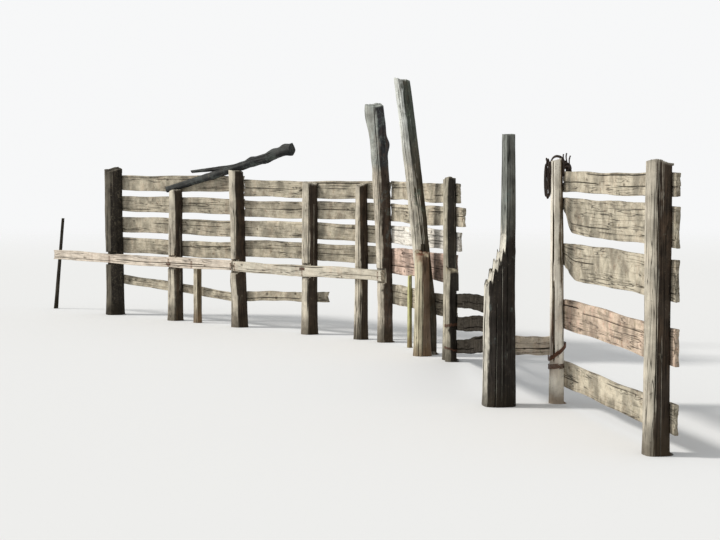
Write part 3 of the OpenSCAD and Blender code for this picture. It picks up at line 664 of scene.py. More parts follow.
# every post and stake: where it stands in its line, its height and width, and its own habit
posts = {
    "end_post": runPost(4, fence["endPostWidth"], 1.570, (-0.015, -0.006), 3, tear=0.05, cols=128, flutes=0.006),
    "run_post_far": runPost(3, fence["runPostWidth"], boughUnder(3) + bough["saddle"], (0.010, -0.004), 5,
                            cuts=runCuts + [saddleCut]),
    "run_post_middle": runPost(2, 1.05 * fence["runPostWidth"], boughUnder(2) + bough["saddle"], (-0.045, -0.005), 7,
                               knots=[(0.3, 250, 0.15, 0.06)], cuts=runCuts + [saddleCut]),
    "run_post_near": runPost(1, fence["runPostWidth"], 1.440, (0.012, -0.003), 9),
    "slim_post": runPost(0.32, fence["slimPostWidth"], 1.430, (0, -0.002), 11, cols=96),
    "corner_post": {
        "at": cornerAt, "height": 2.150, "width": fence["cornerPostWidth"], "taper": 0.08, "lean": (-0.045, -0.090),
        "bend": 2, "seed": 2, "tear": 0.04, "rows": 136, "cuts": runCuts + bayCuts, "flutes": 0.0045,
        "lumpy": 0.0040, "knots": [(0.95, 265, 0.38, 0.06), (0.9, 10, 0.3, 0.05), (0.825, 80, 0.36, 0.03)]},
    "rail_stake": {
        "line": "run", "at": (-2.63 * fence["bay"], frontPlane + 0.028), "height": 0.6525, "width": 0.080, "seed": 4,
        "tear": 0.02, "cols": 64, "rows": 50, "flutes": 0.002, "splinters": 0.006,
        "cuts": [("run", "front", frontPlane, -1, 1.2), ("run", "back", bear, -1, 1.45)]},
    "leaning_stick": {
        "line": "run", "at": (0.042 - 0.160 * fence["frontRailZ"] / 1.010 - 4 * fence["bay"] - fence["railReach"],
                              frontPlane + 0.0126),
        "height": 1.010, "width": 0.042, "taper": 0.3, "lean": (0.160, 0), "seed": 6, "tear": 0.02, "cols": 44,
        "rows": 70, "flutes": 0.0012, "splinters": 0.004, "lumpy": 0.0006, "cuts": [runCuts[1]], "crackCount": 2},
    "tall_post": {
        "line": "bay", "at": (fence["tallPostX"], postY(bear, fence["tallPostWidth"])), "height": 2.320,
        "width": fence["tallPostWidth"], "taper": 0.1, "lean": (-0.03, -0.25), "bend": 1.25, "seed": 14, "tear": 0.045,
        "knots": [(0.5, 120, 0.12, 0.05), (0.75, 300, 0.14, 0.04)], "rows": 136, "flutes": 0.0045, "lumpy": 0.0025,
        "cuts": bayCuts + [("bay", "low", shortPlane, 0, fence["shortPostHeight"] + 0.04)]},
    "short_post": {
        "line": "bay", "at": (shortPlane + 0.38 * fence["shortPostWidth"],
                              postY(bear, fence["shortPostWidth"]) - fence["shortPostStep"]),
        "height": fence["shortPostHeight"], "width": fence["shortPostWidth"], "seed": 16, "tear": 0.055, "cols": 96,
        "rows": 66, "cuts": [("bay", "high", shortPlane, 0, 2)], "splinters": 0.014},
    "thin_pole": {
        "line": "bay", "at": (0.49 * fence["tallPostX"], postY(bear, 0.046)), "height": 0.44 * fence["height"],
        "width": 0.046, "taper": 0.25, "seed": 18, "tear": 0.015, "cols": 44, "rows": 46, "flutes": 0.001,
        "splinters": 0.003, "lumpy": 0.0006, "cuts": bayCuts, "crackCount": 2},
    "gate_post": {
        "line": "bay", "at": (fence["shortBay"], gatePostY), "height": 1.500, "width": fence["gatePostWidth"],
        "lean": (-0.02, -0.008), "seed": 20, "tear": 0.04, "cols": 100, "cuts": bayCuts + gatewayCuts},
    "gate_stub": {
        "line": "gateway", "at": (stubX, postY(gatePlane, fence["stubWidth"])), "height": 0.780,
        "width": fence["stubWidth"], "seed": 22, "tear": 0.06, "cols": 90, "rows": 60, "cuts": gatewayCuts,
        "splinters": 0.016},
    "stile_side_post": {
        "at": sidePostAt, "height": 1.640, "width": fence["sidePostWidth"], "lean": (0, -0.014), "seed": 26,
        "tear": 0.03, "taper": 0.25, "cols": 112, "cuts": nearCuts + [stepCut], "tone": 1.04,
        "stains": [(0.81, 0.075, 0.28, 0.60, 0.62), (0.80, 0.30, 0.20, 0.33, 0.45)],
        "cracks": [{"share": 0.857, "low": 0.47, "high": 2.0, "deep": 0.030, "width": 0.0040},
                   {"share": 0.884, "low": 0.34, "high": 0.76, "deep": 0.024, "width": 0.0085},
                   {"share": 0.874, "low": 1.00, "high": 1.21, "deep": 0.020, "width": 0.0060},
                   {"share": 0.775, "low": 0.0, "high": 1.02, "deep": 0.010, "width": 0.0034},
                   {"share": 0.08, "low": 0.30, "high": 0.95, "deep": 0.008, "width": 0.0022},
                   {"share": 0.55, "low": 0.60, "high": 1.30, "deep": 0.009, "width": 0.0024}]},
    "near_end_post": {
        "at": (sidePostAt[0] + fence["nearBay"], postY(nearPlane, fence["nearPostWidth"])),
        "height": fence["nearHeight"] + 0.070, "width": fence["nearPostWidth"], "lean": (0.012, -0.004), "seed": 28,
        "tear": 0.04, "cuts": nearCuts},
}


# flats and housings hewn into a timber: each pushes the points behind its plane back onto it, between two heights,
# where points at just those heights stay, and leaves shallow marks of the adze
def hew(points, cuts):
    for line, side, plane, low, high in cuts:
        seen = into(line, points)
        x, y, z = seen[..., 0].copy(), seen[..., 1].copy(), seen[..., 2].copy()
        inside = (z > low) & (z < high)
        marks = fence["seat"] + 0.0010 * np.abs(rough(x * 40, y * 40, z * 14, 3))
        if side == "back":
            y = np.where(inside, np.minimum(y, plane - marks), y)
        elif side == "front":
            y = np.where(inside, np.maximum(y, plane + marks), y)
        elif side == "low":
            x = np.where(inside, np.minimum(x, plane - marks), x)
        elif side in ("high", "far"):
            x = np.where(inside, np.maximum(x, plane + marks), x)
        elif side == "saddle":
            run = x + bough["from"] * fence["bay"]
            t = run / (bough["bays"] * fence["bay"])
            lift = fence["height"] - bough["drop"] + run * math.tan(math.radians(bough["rise"])) + 0.03 * t ** 3
            reach = 1.04 * (bough["thin"] + (bough["thick"] - bough["thin"]) * t) / 2
            off = y - postY(bear, fence["runPostWidth"])
            floor = lift - np.sqrt(np.clip(reach ** 2 - off ** 2, 0, 1))
            z = np.where(np.abs(off) < reach, np.minimum(z, floor - 0.001), z)
        points = outOf(line, np.stack([x, y, z], -1))
    return points


# how far above and below a ledge its pair of rows lies
ledgeStep = 0.0006


# shares of the girth at which a trunk has its columns, closer together at its cracks
def columnShares(log):
    return spread(log["cols"], [crack["share"] for crack in log["cracks"]], 0.012)[None]


# heights from the foot to the top, closer together towards the top, with a pair of rows at each ledge
def rowHeights(log):
    height = log["height"]
    shares = spread(log["rows"], [1.0], 0.06, 2.5, closed=False)
    ledges = [edge for cut in log["cuts"] if cut[1] != "saddle" for edge in cut[3:5] if 0 < edge < height]
    pairs = [edge + side for edge in ledges for side in (-ledgeStep, ledgeStep)]
    return np.unique(np.concatenate([shares * height, pairs]))


# the side of a trunk: radius = section x (1 + bark ridges + swelling at the foot + knots) + flutes and fibres
# - fissures, round an axis that leans and bends; the columns follow the grain, which winds by the twist
def trunkSide(log, share, z):
    height, seed = log["height"], log["seed"]
    t = z / height
    angle = 360 * share + log["twist"] * t
    foot = log["foot"] or (log["width"] / 2, log["width"] / 2)
    tip = log["tip"] or tuple(f * (1 - log["taper"]) for f in foot)
    tip = tip if isinstance(tip, tuple) else (tip, tip)
    radius = sectionRadius(angle, foot[0] + (tip[0] - foot[0]) * t, foot[1] + (tip[1] - foot[1]) * t, log["square"])
    grown = barkShare(angle, t, seed) + log["swell"] * np.exp(-12 * t)
    for high, turn, rise, wide in log["knots"]:
        grown = grown + rise * np.exp(-((t - high) / wide) ** 2) * np.maximum(0, cosDeg(angle - turn)) ** 2
    mean = (foot[0] + foot[1]) / 2
    girth = 2 * math.pi * mean
    gx, gy = mean * np.cos(2 * math.pi * share), mean * np.sin(2 * math.pi * share)
    deep, dark = fissures(share, z, log["cracks"], girth)
    bowed, heart, rise = knotSpots(share * girth + 0 * z, z + 0 * share, log["spots"])
    flute = -np.abs(rough(gx * 26, gy * 26, z * 1.1, seed, 2)) + 0.25
    relief = log["flutes"] * 1.6 * flute + log["fibres"] * rough(gx * 130, gy * 130, z * 7, seed + 3, 2) \
        + log["lumpy"] * rough(gx * 16, gy * 16, z * 9, seed + 7, 3)
    radius = radius * (1 + grown) + relief + rise - deep
    midX, midY = log["lean"][0] * t ** log["bend"], log["lean"][1] * t ** log["bend"]
    points = np.stack([midX + radius * cosDeg(angle), midY + radius * sinDeg(angle), z + 0 * share], -1)
    turnBowed = bowed / mean
    stained = np.zeros(dark.shape)
    for around, wide, low, high, strength in log["stains"]:
        gap = (share - around + 0.5) % 1 - 0.5 + 0.02 * lumps(z * 14, share * 9, 0, seed)
        band = ease(z, low - 0.06, low + 0.06) * (1 - ease(z, high - 0.14, high + 0.14))
        stained = np.maximum(stained, strength * band * (1 - ease(np.abs(gap), 0.4 * wide, wide)))
    marks = {
        "grain": np.stack([mean * np.cos(turnBowed), mean * np.sin(turnBowed), z + 0 * share + 3.7 * seed], -1),
        "fissure": dark, "knot": 0.85 * heart, "bare": np.zeros(dark.shape), "rust": stained,
        "tone": np.full(dark.shape, log["tone"])}
    return points, marks


# the torn top: rings drawn in to the heart, splintered, and dipping where a fissure runs out
def trunkTop(log, edge, marks, rings=7):
    inward = (1 - np.arange(1, rings + 1) / (rings + 0.4))[:, None]
    heart = edge.mean(0)
    crown = log["height"] - 0.6 * log["tear"]
    x = heart[0] + (edge[:, 0] - heart[0]) * inward
    y = heart[1] + (edge[:, 1] - heart[1]) * inward
    z = crown + (edge[:, 2] - crown) * inward ** 1.4
    z = z + log["splinters"] * rough(x * 95, y * 95, 0, log["seed"] + 9, 3) * (1 - inward ** 6)
    z = z - 0.020 * marks["fissure"][-1] * inward * (1 - inward ** 8)
    cap = {key: np.repeat(value[-1:], rings, 0) for key, value in marks.items()}
    cap["grain"] = np.stack([marks["grain"][-1][:, 0] * inward, marks["grain"][-1][:, 1] * inward,
                             marks["grain"][-1][:, 2] + 0 * inward], -1)
    cap["bare"] = np.ones(x.shape)
    cap["fissure"] = 0.8 * cap["fissure"] * inward ** 0.5
    return np.stack([x, y, z], -1), cap


# a log's habit filled in from its seed: fissures, small knots and tone
def habit(log):
    log = {**logDefaults, **log}
    chance = np.random.default_rng(100 + log["seed"])
    girth = math.pi * log["width"]
    if log["cracks"] is None:
        log["cracks"] = []
        for k in range(log["crackCount"]):
            low = chance.uniform(-0.2, 0.55) * log["height"]
            log["cracks"].append({
                "share": chance.uniform(0, 1), "low": low, "high": low + chance.uniform(0.35, 0.75) * log["height"],
                "deep": chance.uniform(0.05, 0.13) * log["width"], "width": chance.uniform(0.0018, 0.0036)})
    log["spots"] = [{"across": chance.uniform(0, 1) * girth, "along": chance.uniform(0.1, 0.9) * log["height"],
                     "size": chance.uniform(0.05, 0.10) * log["width"]} for k in range(4)]
    log["tone"] = log.get("tone", 1 + 0.08 * chance.uniform(-1, 1))
    return log


# the whole trunk in its own frame: side rows up to the torn edge, then the top
def trunk(log):
    share = columnShares(log)
    z = rowHeights(log)[:, None]
    top = tornTop(360 * share + log["twist"], log)
    top = top - log["splinters"] * np.abs(rough(np.cos(2 * np.pi * share) * 9, np.sin(2 * np.pi * share) * 9, 0,
                                                log["seed"] + 5, 3))
    start = log["height"] - max(2.2 * log["tear"], 0.05)
    lowered = z - (log["height"] - top) * ease(z, start, log["height"])
    points, marks = trunkSide(log, share, lowered)
    marks["bare"] = 0.8 * (1 - ease(top - lowered, 0.0, 0.018))
    cap, capMarks = trunkTop(log, points[-1], marks)
    marks = {key: np.concatenate([value, capMarks[key]]) for key, value in marks.items()}
    return np.concatenate([points, cap]), marks


for node, given in posts.items():
    log = habit(given)
    points, marks = trunk(log)
    points = points + np.array([*log["at"], 0.0])
    points = hew(outOf(log["line"], points), log["cuts"])
    skin(node + "_timber", points, marks, finishOf(node), node)
print("posts and stakes:", len(posts))


# points turned about the y axis, as the tilt of a trunk that is laid over
def tilted(degrees, points):
    c, s = cosDeg(degrees), sinDeg(degrees)
    x, y, z = points[..., 0], points[..., 1], points[..., 2]
    return np.stack([c * x + s * z, y, c * z - s * x], -1)


# the bough: a knobbly stem, with a limb that lies back under it and a broken stump on top, all laid over the run
boughLength = bough["bays"] * fence["bay"]
boughAt = (-bough["from"] * fence["bay"], postY(bear, fence["runPostWidth"]), fence["height"] - bough["drop"])
boughWood = {"square": 2.0, "swell": 0.0, "flutes": 0.0024, "splinters": 0.008, "twist": 30.0, "tone": 0.95,
             "lumpy": 0.0055, "crackCount": 3}
boughParts = {
    "bough_stem": {"height": boughLength, "width": bough["thin"], "tip": bough["thick"] / 2, "lean": (-0.03, 0),
                   "bend": 3, "seed": 8, "tear": 0.06, "cols": 72, "rows": 130, "from": 0.0, "turn": 0.0,
                   "knots": [(0.93, 170, 0.50, 0.030), (0.85, 205, 0.40, 0.032), (0.97, 15, 0.40, 0.030),
                             (0.79, 350, 0.40, 0.034), (0.68, 185, 0.34, 0.030)]},
    "bough_limb": {"height": bough["limbShare"] * boughLength, "width": bough["side"], "tip": 0.3 * bough["side"],
                   "seed": 12, "tear": 0.03, "cols": 52, "rows": 60, "from": bough["limbAt"] * boughLength,
                   "turn": bough["limbTurn"], "lumpy": 0.0030},
    "bough_stump": {"height": 0.9 * bough["thick"], "width": bough["side"], "tip": 0.4 * bough["side"], "seed": 6,
                    "tear": 0.02, "cols": 48, "rows": 26, "from": bough["stumpAt"] * boughLength,
                    "turn": bough["stumpTurn"], "lumpy": 0.0020}}
for name, given in boughParts.items():
    log = habit({**boughWood, **given})
    points, marks = trunk(log)
    points = tilted(log["turn"], points) + np.array([0, 0, log["from"]])
    points = outOf("run", tilted(90 - bough["rise"], points) + np.array(boughAt))
    skin(name, points, marks, finishOf("fallen_bough"), "fallen_bough")
print("bough laid")

# the broad stile post: upright on the side of the gap, split and broken away on the yard side
stilePost = habit({
    "at": (0, fence["stileFaceY"] - fence["stileFootY"]), "height": 1.800, "foot": (0.105, fence["stileFootY"]),
    "tip": (0.070, 0.080), "width": 0.21, "lean": (0, 0.008), "square": 3.6, "seed": 24, "tear": 0.014,
    "swell": 0.06, "cols": 140, "twist": 2.0, "flutes": 0.0065, "fibres": 0.0016, "splinters": 0.006, "tone": 0.98,
    "cuts": [("yard", "back", fence["stileFaceY"], -1, 4), stepCut],
    "cracks": [{"share": 0.985, "low": 0.10, "high": 0.86, "deep": 0.020, "width": 0.0044},
               {"share": 0.045, "low": 0.35, "high": 1.65, "deep": 0.016, "width": 0.0036},
               {"share": 0.93, "low": -0.10, "high": 0.62, "deep": 0.018, "width": 0.0040},
               {"share": 0.75, "low": 0.05, "high": 0.70, "deep": 0.022, "width": 0.0048},
               {"share": 0.52, "low": 0.30, "high": 1.50, "deep": 0.014, "width": 0.0036}]})
breakSteps = [(1.96, 0.82), (1.6, 0.91), (1.38, 0.87), (1.2, 1.0), (0.95, 0.96), (0.8, 1.07), (0.6, 1.01),
              (0.42, 1.13), (0.26, 1.07), (0.12, 1.22)]
sparEdge = fence["stileFaceY"] - fence["sparWidth"]
breakY = [sparEdge - s * fence["sparWidth"] for s, h in breakSteps]
breakZ = [fence["splitHeight"] * h for s, h in breakSteps]
breakRows, breakLift = 14, 0.02


# the split face of the standing spar, by height
def sparFace(z):
    return np.interp(z, [breakZ[-1], 1.5 * fence["splitHeight"], stilePost["height"]],
                     [breakY[-1], sparEdge - 0.0034, sparEdge])


# the stile post's rings: up the side to the break, in over the jagged break to the spar, and up the spar
def stileRings(log):
    share = columnShares(log)
    at = np.array([*log["at"], 0.0])
    rim = trunkSide(log, share, np.full_like(share, fence["splitHeight"]))[0][0] + at
    broken = rim[:, 1] < breakY[-1]
    stop = np.where(broken, np.interp(rim[:, 1], breakY, breakZ), breakZ[-1])
    stop = stop - np.where(broken, 0.03 * np.abs(rough(rim[:, 0] * 60, rim[:, 1] * 60, 0, 8)), 0)
    lowRows = spread(84, [1.0], 0.08, 1.5, closed=False)[:, None]
    ledges = np.array([[stepCut[3] + d, stepCut[4] + d] for d in (-ledgeStep, ledgeStep)]).ravel()
    zLow = lowRows * stop[None]
    extra = np.repeat(ledges[:, None], share.shape[1], 1)
    zLow = np.sort(np.concatenate([zLow, extra]), 0)
    side, marks = trunkSide(log, share, zLow)
    side = side + at
    inward = (np.arange(1, breakRows + 1) / breakRows)[:, None]
    xIn = np.repeat(side[-1:, :, 0], breakRows, 0)
    yIn = side[-1, :, 1] + (breakY[-1] - side[-1, :, 1]) * inward
    jag = 0.030 * rough(xIn * 85, yIn * 85, 0, 8, 3) * (1 - inward ** 4)
    zIn = np.interp(yIn, breakY, breakZ) - 0.012 + jag
    zIn = zIn + (side[-1, :, 2] - zIn) * (1 - inward) ** 3
    still = np.repeat(~broken[None], breakRows, 0)
    lift = breakZ[-1] + breakLift * inward + 0 * xIn
    standing, standingMarks = trunkSide(log, share, lift)
    standing = standing + at
    torn = np.stack([xIn, yIn, zIn], -1)
    torn = np.where(still[..., None], standing, torn)
    tornMarks = {key: value.copy() for key, value in standingMarks.items()}
    opened = np.where(still, 0.0, 1.0)
    tornMarks["bare"] = opened
    # the hollows of the torn break are painted dark as shade
    tornMarks["fissure"] = tornMarks["fissure"] * (1 - opened) + opened * 0.55 * ease(-jag, 0.004, 0.020)
    top = tornTop(360 * share + log["twist"], log)
    rise = spread(62, [1.0], 0.06, 2.0, closed=False)[1:, None]
    base = np.where(broken, breakZ[-1], breakZ[-1] + breakLift)[None]
    zUp = base + (log["height"] - base) * rise
    zUp = zUp - (log["height"] - top) * ease(zUp, log["height"] - 0.08, log["height"])
    spar, sparMarks = trunkSide(log, share, zUp)
    spar = spar + at
    face = sparFace(zUp) + 0.0035 * rough(spar[..., 0] * 70, 0, zUp * 3, 17, 3)
    split = spar[..., 1] < face
    spar[..., 1] = np.maximum(spar[..., 1], face)
    sparMarks["bare"] = np.where(split, 0.35, sparMarks["bare"])
    sparMarks["fissure"] = np.where(split, 0.0, sparMarks["fissure"])
    sparMarks["grain"] = np.where(split[..., None], (spar - at) + np.array([0, 0, 88.8]),
                                  sparMarks["grain"])
    cap, capMarks = trunkTop(log, spar[-1] - at, sparMarks)
    cap = cap + at
    rings = np.concatenate([side, torn, spar, cap])
    whole = {key: np.concatenate([marks[key], tornMarks[key], sparMarks[key], capMarks[key]]) for key in marks}
    return rings, whole


rings, worn = stileRings(stilePost)
rings = hew(rings, stilePost["cuts"])
notch = into("gateway", rings)
inNotch = ((notch[..., 1] > gatePlane - fence["housingRoom"])
           & (notch[..., 1] < gatePlane + fence["gateRailThick"] + fence["housingRoom"])
           & (notch[..., 2] < railsTop + fence["gateRailRise"] + 0.013) & (notch[..., 0] < gateRailLength))
notch[..., 0] = np.where(inNotch, gateRailLength - fence["seat"] + 0.0004, notch[..., 0])
rings = outOf("gateway", notch)
skin("stile_post_timber", rings, worn, finishOf("stile_post"), "stile_post")
print("stile post split")


# the wave of a split edge at a share of the board's length
def edgeWave(t, seed):
    return 0.0045 * sinDeg(420 * t + 83 * seed) + 0.0025 * sinDeg(1170 * t + 47 * seed)


boardDefaults = {"thick": fence["boardThick"], "tilt": 0.0, "farTear": 1.0, "nearTear": 1.0, "line": "yard",
                 "faceCols": 24, "edgeCols": 6, "rows": 124, "wear": 1.0, "corner": (0.1, 0.0)}


# a board of the run, its tier counted from the top: the far half lies a little higher, with wider gaps
def runBoard(tier, half, overhang, seed, tilt, nails=None):
    far, near, usual = {"far": (4, 2, (-3.97, -3, -2.03)), "near": (2, 0, (-1.97, -1, -0.32))}[half]
    nails = nails or usual
    z = fence["height"] - fence["boardWidth"] / 2 - fence["edgeRoom"] \
        - (tier - 1) * (fence["boardWidth"] + fence["boardGap"])
    if half == "far":
        z += fence["farRise"] - (tier - 1) * (fence["farGap"] - fence["boardGap"])
    return {"line": "run", "at": (-far * fence["bay"] - overhang, bear, z), "width": fence["boardWidth"],
            "length": (far - near) * fence["bay"] + overhang - fence["endGap"] / 2, "seed": seed, "tilt": tilt,
            # the run's boards are toned down to about nine tenths as painted shade for their slanting face to the
            # light, with a small spread by seed
            "nails": [k * fence["bay"] for k in nails], "tone": 0.90 + 0.05 * float(sinDeg(110 * seed))}


def bayBoard(top, width, over, seed, tilt, **more):
    return {"line": "bay", "at": (0, bear, top - width / 2 - fence["edgeRoom"]), "width": width,
            "length": fence["shortBay"] + over, "seed": seed, "tilt": tilt,
            "nails": [0.035, fence["tallPostX"], fence["shortBay"] - 0.02], **more}


def nearBoard(topShare, widthShare, seed, tilt, **more):
    width = widthShare * fence["boardWidth"]
    start = sidePostAt[0] - 0.3 * fence["sidePostWidth"]
    return {"at": (start, nearPlane, topShare * fence["nearHeight"] - width / 2 - fence["edgeRoom"]),
            "length": fence["nearBay"] + 0.3 * fence["sidePostWidth"] + fence["nearOverhang"], "width": width,
            "seed": seed, "tilt": tilt, "faceCols": 28,
            "nails": [sidePostAt[0] + 0.005, sidePostAt[0] + fence["nearBay"]], **more}


# a low gateway rail, counted from the ground; it rises towards the stile post, the lowest one most
def gateRail(k, seed):
    rise = fence["gateRailRise"] + (3 - k) * fence["gateRailFan"]
    low = fence["gateRailLow"] + fence["gateRailWidth"] / 2 + (k - 1) * fence["gateRailStep"]
    return {"line": "gateway", "at": (0, gatePlane, low + rise / 2), "length": gateRailLength - 2 * fence["seat"],
            "width": fence["gateRailWidth"], "thick": fence["gateRailThick"], "seed": seed, "tilt": rise,
            "farTear": 0.2, "nearTear": 0.0, "rows": 140, "edgeCols": 10, "wear": 1.8, "nails": [0.012, stubX]}


def frontRail(start, end, seed, nails):
    return {"line": "run", "at": (start, frontPlane - fence["frontRailThick"], fence["frontRailZ"]),
            "length": end - start, "width": fence["frontRailWidth"], "thick": fence["frontRailThick"], "seed": seed,
            "tilt": 0.004, "edgeCols": 9, "nailSide": "front", "nails": [k * fence["bay"] for k in nails],
            "tone": 1.12}


def lowRail(far, near, overhang, seed, tilt, nails):
    return {"line": "run", "at": (-far * fence["bay"] - overhang, bear, fence["lowRailZ"]),
            "length": (far - near) * fence["bay"] + overhang - fence["endGap"] / 2, "width": fence["lowRailWidth"],
            "seed": seed, "tilt": tilt, "nails": [k * fence["bay"] for k in nails], "tone": 0.92}


gap = fence["endGap"] / 2
tier = fence["boardWidth"] + fence["boardGap"]
# every board and rail: its line, where it starts, its length, width and seed, and where it is nailed
boards = {
    "run_board_far_1": runBoard(1, "far", 0.110, 1, 0.005, nails=(-3.97, -2.03)),
    "run_board_far_2": runBoard(2, "far", 0.060, 2, -0.004),
    "run_board_far_3": runBoard(3, "far", 0.140, 3, 0.003),
    "run_board_far_4": runBoard(4, "far", 0.040, 4, 0.005),
    "run_board_near_1": runBoard(1, "near", -gap, 5, -0.004),
    "run_board_near_2": runBoard(2, "near", -gap, 6, 0.004),
    "run_board_near_3": runBoard(3, "near", -gap, 7, -0.005),
    "run_board_near_4": runBoard(4, "near", -gap, 8, 0.003),
    "front_rail_far": frontRail(-4 * fence["bay"] - fence["railReach"], -2 * fence["bay"] - gap, 9,
                                (-4, -3, -2.63, -2.03)),
    "front_rail_near": frontRail(-2 * fence["bay"] + gap, 0.3 * fence["cornerPostWidth"], 10, (-1.97, -1, -0.01)),
    "low_rail_far": lowRail(4, 2, 0.060, 11, -fence["lowRailFall"], (-4, -3, -2.03)),
    "low_rail_near": lowRail(2, 0.8, -gap, 12, fence["lowRailFall"] / 2, (-1.97, -1)),
    "bay_board_1": bayBoard(fence["height"], fence["boardWidth"], 0.060, 13, -0.004),
    "bay_board_2": bayBoard(fence["height"] - tier, fence["boardWidth"], 0.170, 14, 0.004),
    "bay_board_3": bayBoard(fence["height"] - 2 * tier, fence["boardWidth"], 0.090, 15, -0.003),
    "bay_board_4": bayBoard(wideTop, fence["wideShare"] * fence["boardWidth"], 0, 16, 0.004, faceCols=28),
    "bay_board_5": bayBoard(wideTop - fence["wideShare"] * fence["boardWidth"] - fence["edgeRoom"] - fence["lowGap"],
                            1.1 * fence["boardWidth"], 0, 17, -0.006, tone=0.88),
    "gate_rail_1": gateRail(1, 18),
    "gate_rail_2": gateRail(2, 19),
    "gate_rail_3": gateRail(3, 20),
    "step_board": {
        "line": "step", "at": (0, 0, fence["stepZ"]), "width": fence["stepWidth"], "seed": 21, "tilt": 0.003,
        "rows": 60, "length": sidePostAt[1] + 0.45 * fence["sidePostWidth"] - fence["stepStart"], "farTear": 0.5,
        "nearTear": 0.5, "nails": [0.04, sidePostAt[1] - fence["stepStart"]]},
    "near_board_1": nearBoard(1, 0.85, 22, 0.004),
    "near_board_2": nearBoard(0.888, 1.45, 23, -0.005, corner=(0.26, 0.155)),
    "near_board_3": nearBoard(0.699, 1.45, 24, 0.006, corner=(0.36, 0.085)),
    "near_board_4": nearBoard(0.455, 1.24, 25, -0.004),
    "near_board_5": nearBoard(0.186, 1.03, 26, 0.005),
}


# a board's section as a rounded box walked round once: across and through as shares, and the way inwards
def boardSection(board, places):
    width, thick, corner = board["width"], board["thick"], 0.0045
    along = spread(board["faceCols"], places, 0.016, 4.0, closed=False)
    flat = -0.5 * width + corner + along * (width - 2 * corner)
    edge = corner + (np.arange(1, board["edgeCols"] + 1) / (board["edgeCols"] + 1)) * (thick - 2 * corner)
    bend = corner * (1 - math.sqrt(0.5))
    side = width / 2
    z = np.concatenate([flat, [side - bend], np.full(len(edge), side), [side - bend], flat[::-1], [bend - side],
                        np.full(len(edge), -side), [bend - side]])
    y = np.concatenate([np.zeros(len(flat)), [bend], edge, [thick - bend], np.full(len(flat), thick), [thick - bend],
                        edge[::-1], [bend]])
    inY = np.where(y < corner * 0.9, 1.0, np.where(y > thick - corner * 0.9, -1.0, 0.0))
    inZ = np.where(z > side - corner * 0.9, -1.0, np.where(z < corner * 0.9 - side, 1.0, 0.0))
    size = np.sqrt(inY ** 2 + inZ ** 2)
    return y, z / width, inY / size, inZ / size


# the height by which a board's lower corner broke away at its far end, falling to none along it
def brokenCorner(board, x):
    long, high = board["corner"]
    return high * (1 - ease(x, 0.0, long)) * (1 + 0.12 * lumps(x * 38, board["seed"], 0, 11))


# the depth to which an end is torn, across the board, from four straight steps
def endTear(across, seed, turn, torn):
    steps = [0.0] + [torn * fence["ragged"] * abs(float(sinDeg(turn[0] * k + turn[1] * seed))) for k in (1, 2, 3)]
    return np.interp(across, [-0.5, -0.25, 0.0, 0.25, 0.5], steps + [0.0])


# a board in its own frame: x runs along it, y through it and z across it. Its edges wave as the grain does, its ends
# are torn, and grooves, splits from its ends, chipped corners and wane are taken off its faces
def boardRings(board, chance):
    seed, length, width, thick = board["seed"], board["length"], board["width"], board["thick"]
    splits = [{"share": chance.uniform(0.12, 0.88), "low": start, "high": end,
               "deep": chance.uniform(0.25, 0.42) * thick, "width": chance.uniform(0.0022, 0.0042)}
              for start, end in ((-0.2, chance.uniform(0.15, 0.45) * length),
                                 (length * (1 - chance.uniform(0.15, 0.45)), length + 0.2),
                                 (chance.uniform(0.2, 0.5) * length, chance.uniform(0.6, 0.85) * length))]
    y, q, inY, inZ = boardSection(board, [crack["share"] for crack in splits])
    t = spread(board["rows"], [0.0, 1.0], 0.02, 2.0, closed=False)[:, None]
    lower = -width / 2 + edgeWave(t, seed) + board["tilt"] * (t - 0.5) + brokenCorner(board, length * t)
    upper = width / 2 + edgeWave(t, seed + 5) + board["tilt"] * (t - 0.5)
    z = lower + (upper - lower) * (q[None] + 0.5)
    farIn = endTear(-q, seed, (97, 43), board["farTear"])[None]
    nearIn = endTear(q, seed, (137, 61), board["nearTear"])[None]
    splinter = 0.008 * np.abs(rough(q[None] * width * 110, 0, seed, seed + 4, 3))
    x = length * t + (farIn + board["farTear"] * splinter) * (1 - t) ** 40 \
        - (nearIn + board["nearTear"] * splinter) * t ** 40
    across = q[None] * width + 0 * t
    spots = [{"across": chance.uniform(-0.38, 0.38) * width, "along": chance.uniform(0.06, 0.94) * length,
              "size": chance.uniform(0.008, 0.018)} for k in range(5)]
    bowed, heart, rise = knotSpots(across, x, spots)
    onFace = np.abs(inY)[None] > 0.9
    deep, dark = fissures(q[None] + 0.5, x, splits, width, closed=False)
    deep, dark = deep * onFace, dark * onFace
    worn = board["wear"]
    grooves = worn * 0.0009 * (1 + rough(bowed * 150, y[None] * 60, x * 2.6, seed, 2)) \
        + worn * 0.0010 * (1 + rough(bowed * 42, y[None] * 30, x * 1.1, seed + 1, 2))
    cornerish = (np.abs(inY) * np.abs(inZ) > 0.2)[None]
    nearEdge = ease(np.abs(q[None]), 0.5 - 0.014 / width, 0.5)
    chips = worn * 0.0045 * ease(rough(x * 7, y[None] * 20, q[None] * 3, seed + 2, 3), 0.15, 0.7) * nearEdge
    wane = worn * 0.006 * ease(lumps(x * 1.3, np.sign(q)[None] * 5, np.sign(y - thick / 2)[None] * 5, seed + 6),
                               0.25, 0.9) * ease(np.abs(q[None]), 0.5 - 0.020 / width, 0.5)
    taken = grooves * (1 - 0.6 * heart) + np.where(cornerish, 0.0016, 0) + chips + wane + deep
    taken = np.minimum(taken, 0.42 * thick)
    rings = np.stack([x, y[None] + inY[None] * taken, z + inZ[None] * np.minimum(taken, 0.012)], -1)
    marks = {
        "grain": np.stack([y[None] + 0.07 + 0 * x, bowed + 0.11, x + 5.3 * seed], -1),
        "fissure": dark, "knot": 0.85 * heart, "bare": 0.5 * (1 - ease(np.minimum(x, length - x), 0.0, 0.03)),
        "rust": np.zeros(x.shape), "tone": np.full(x.shape, board["tone"])}
    return rings, marks


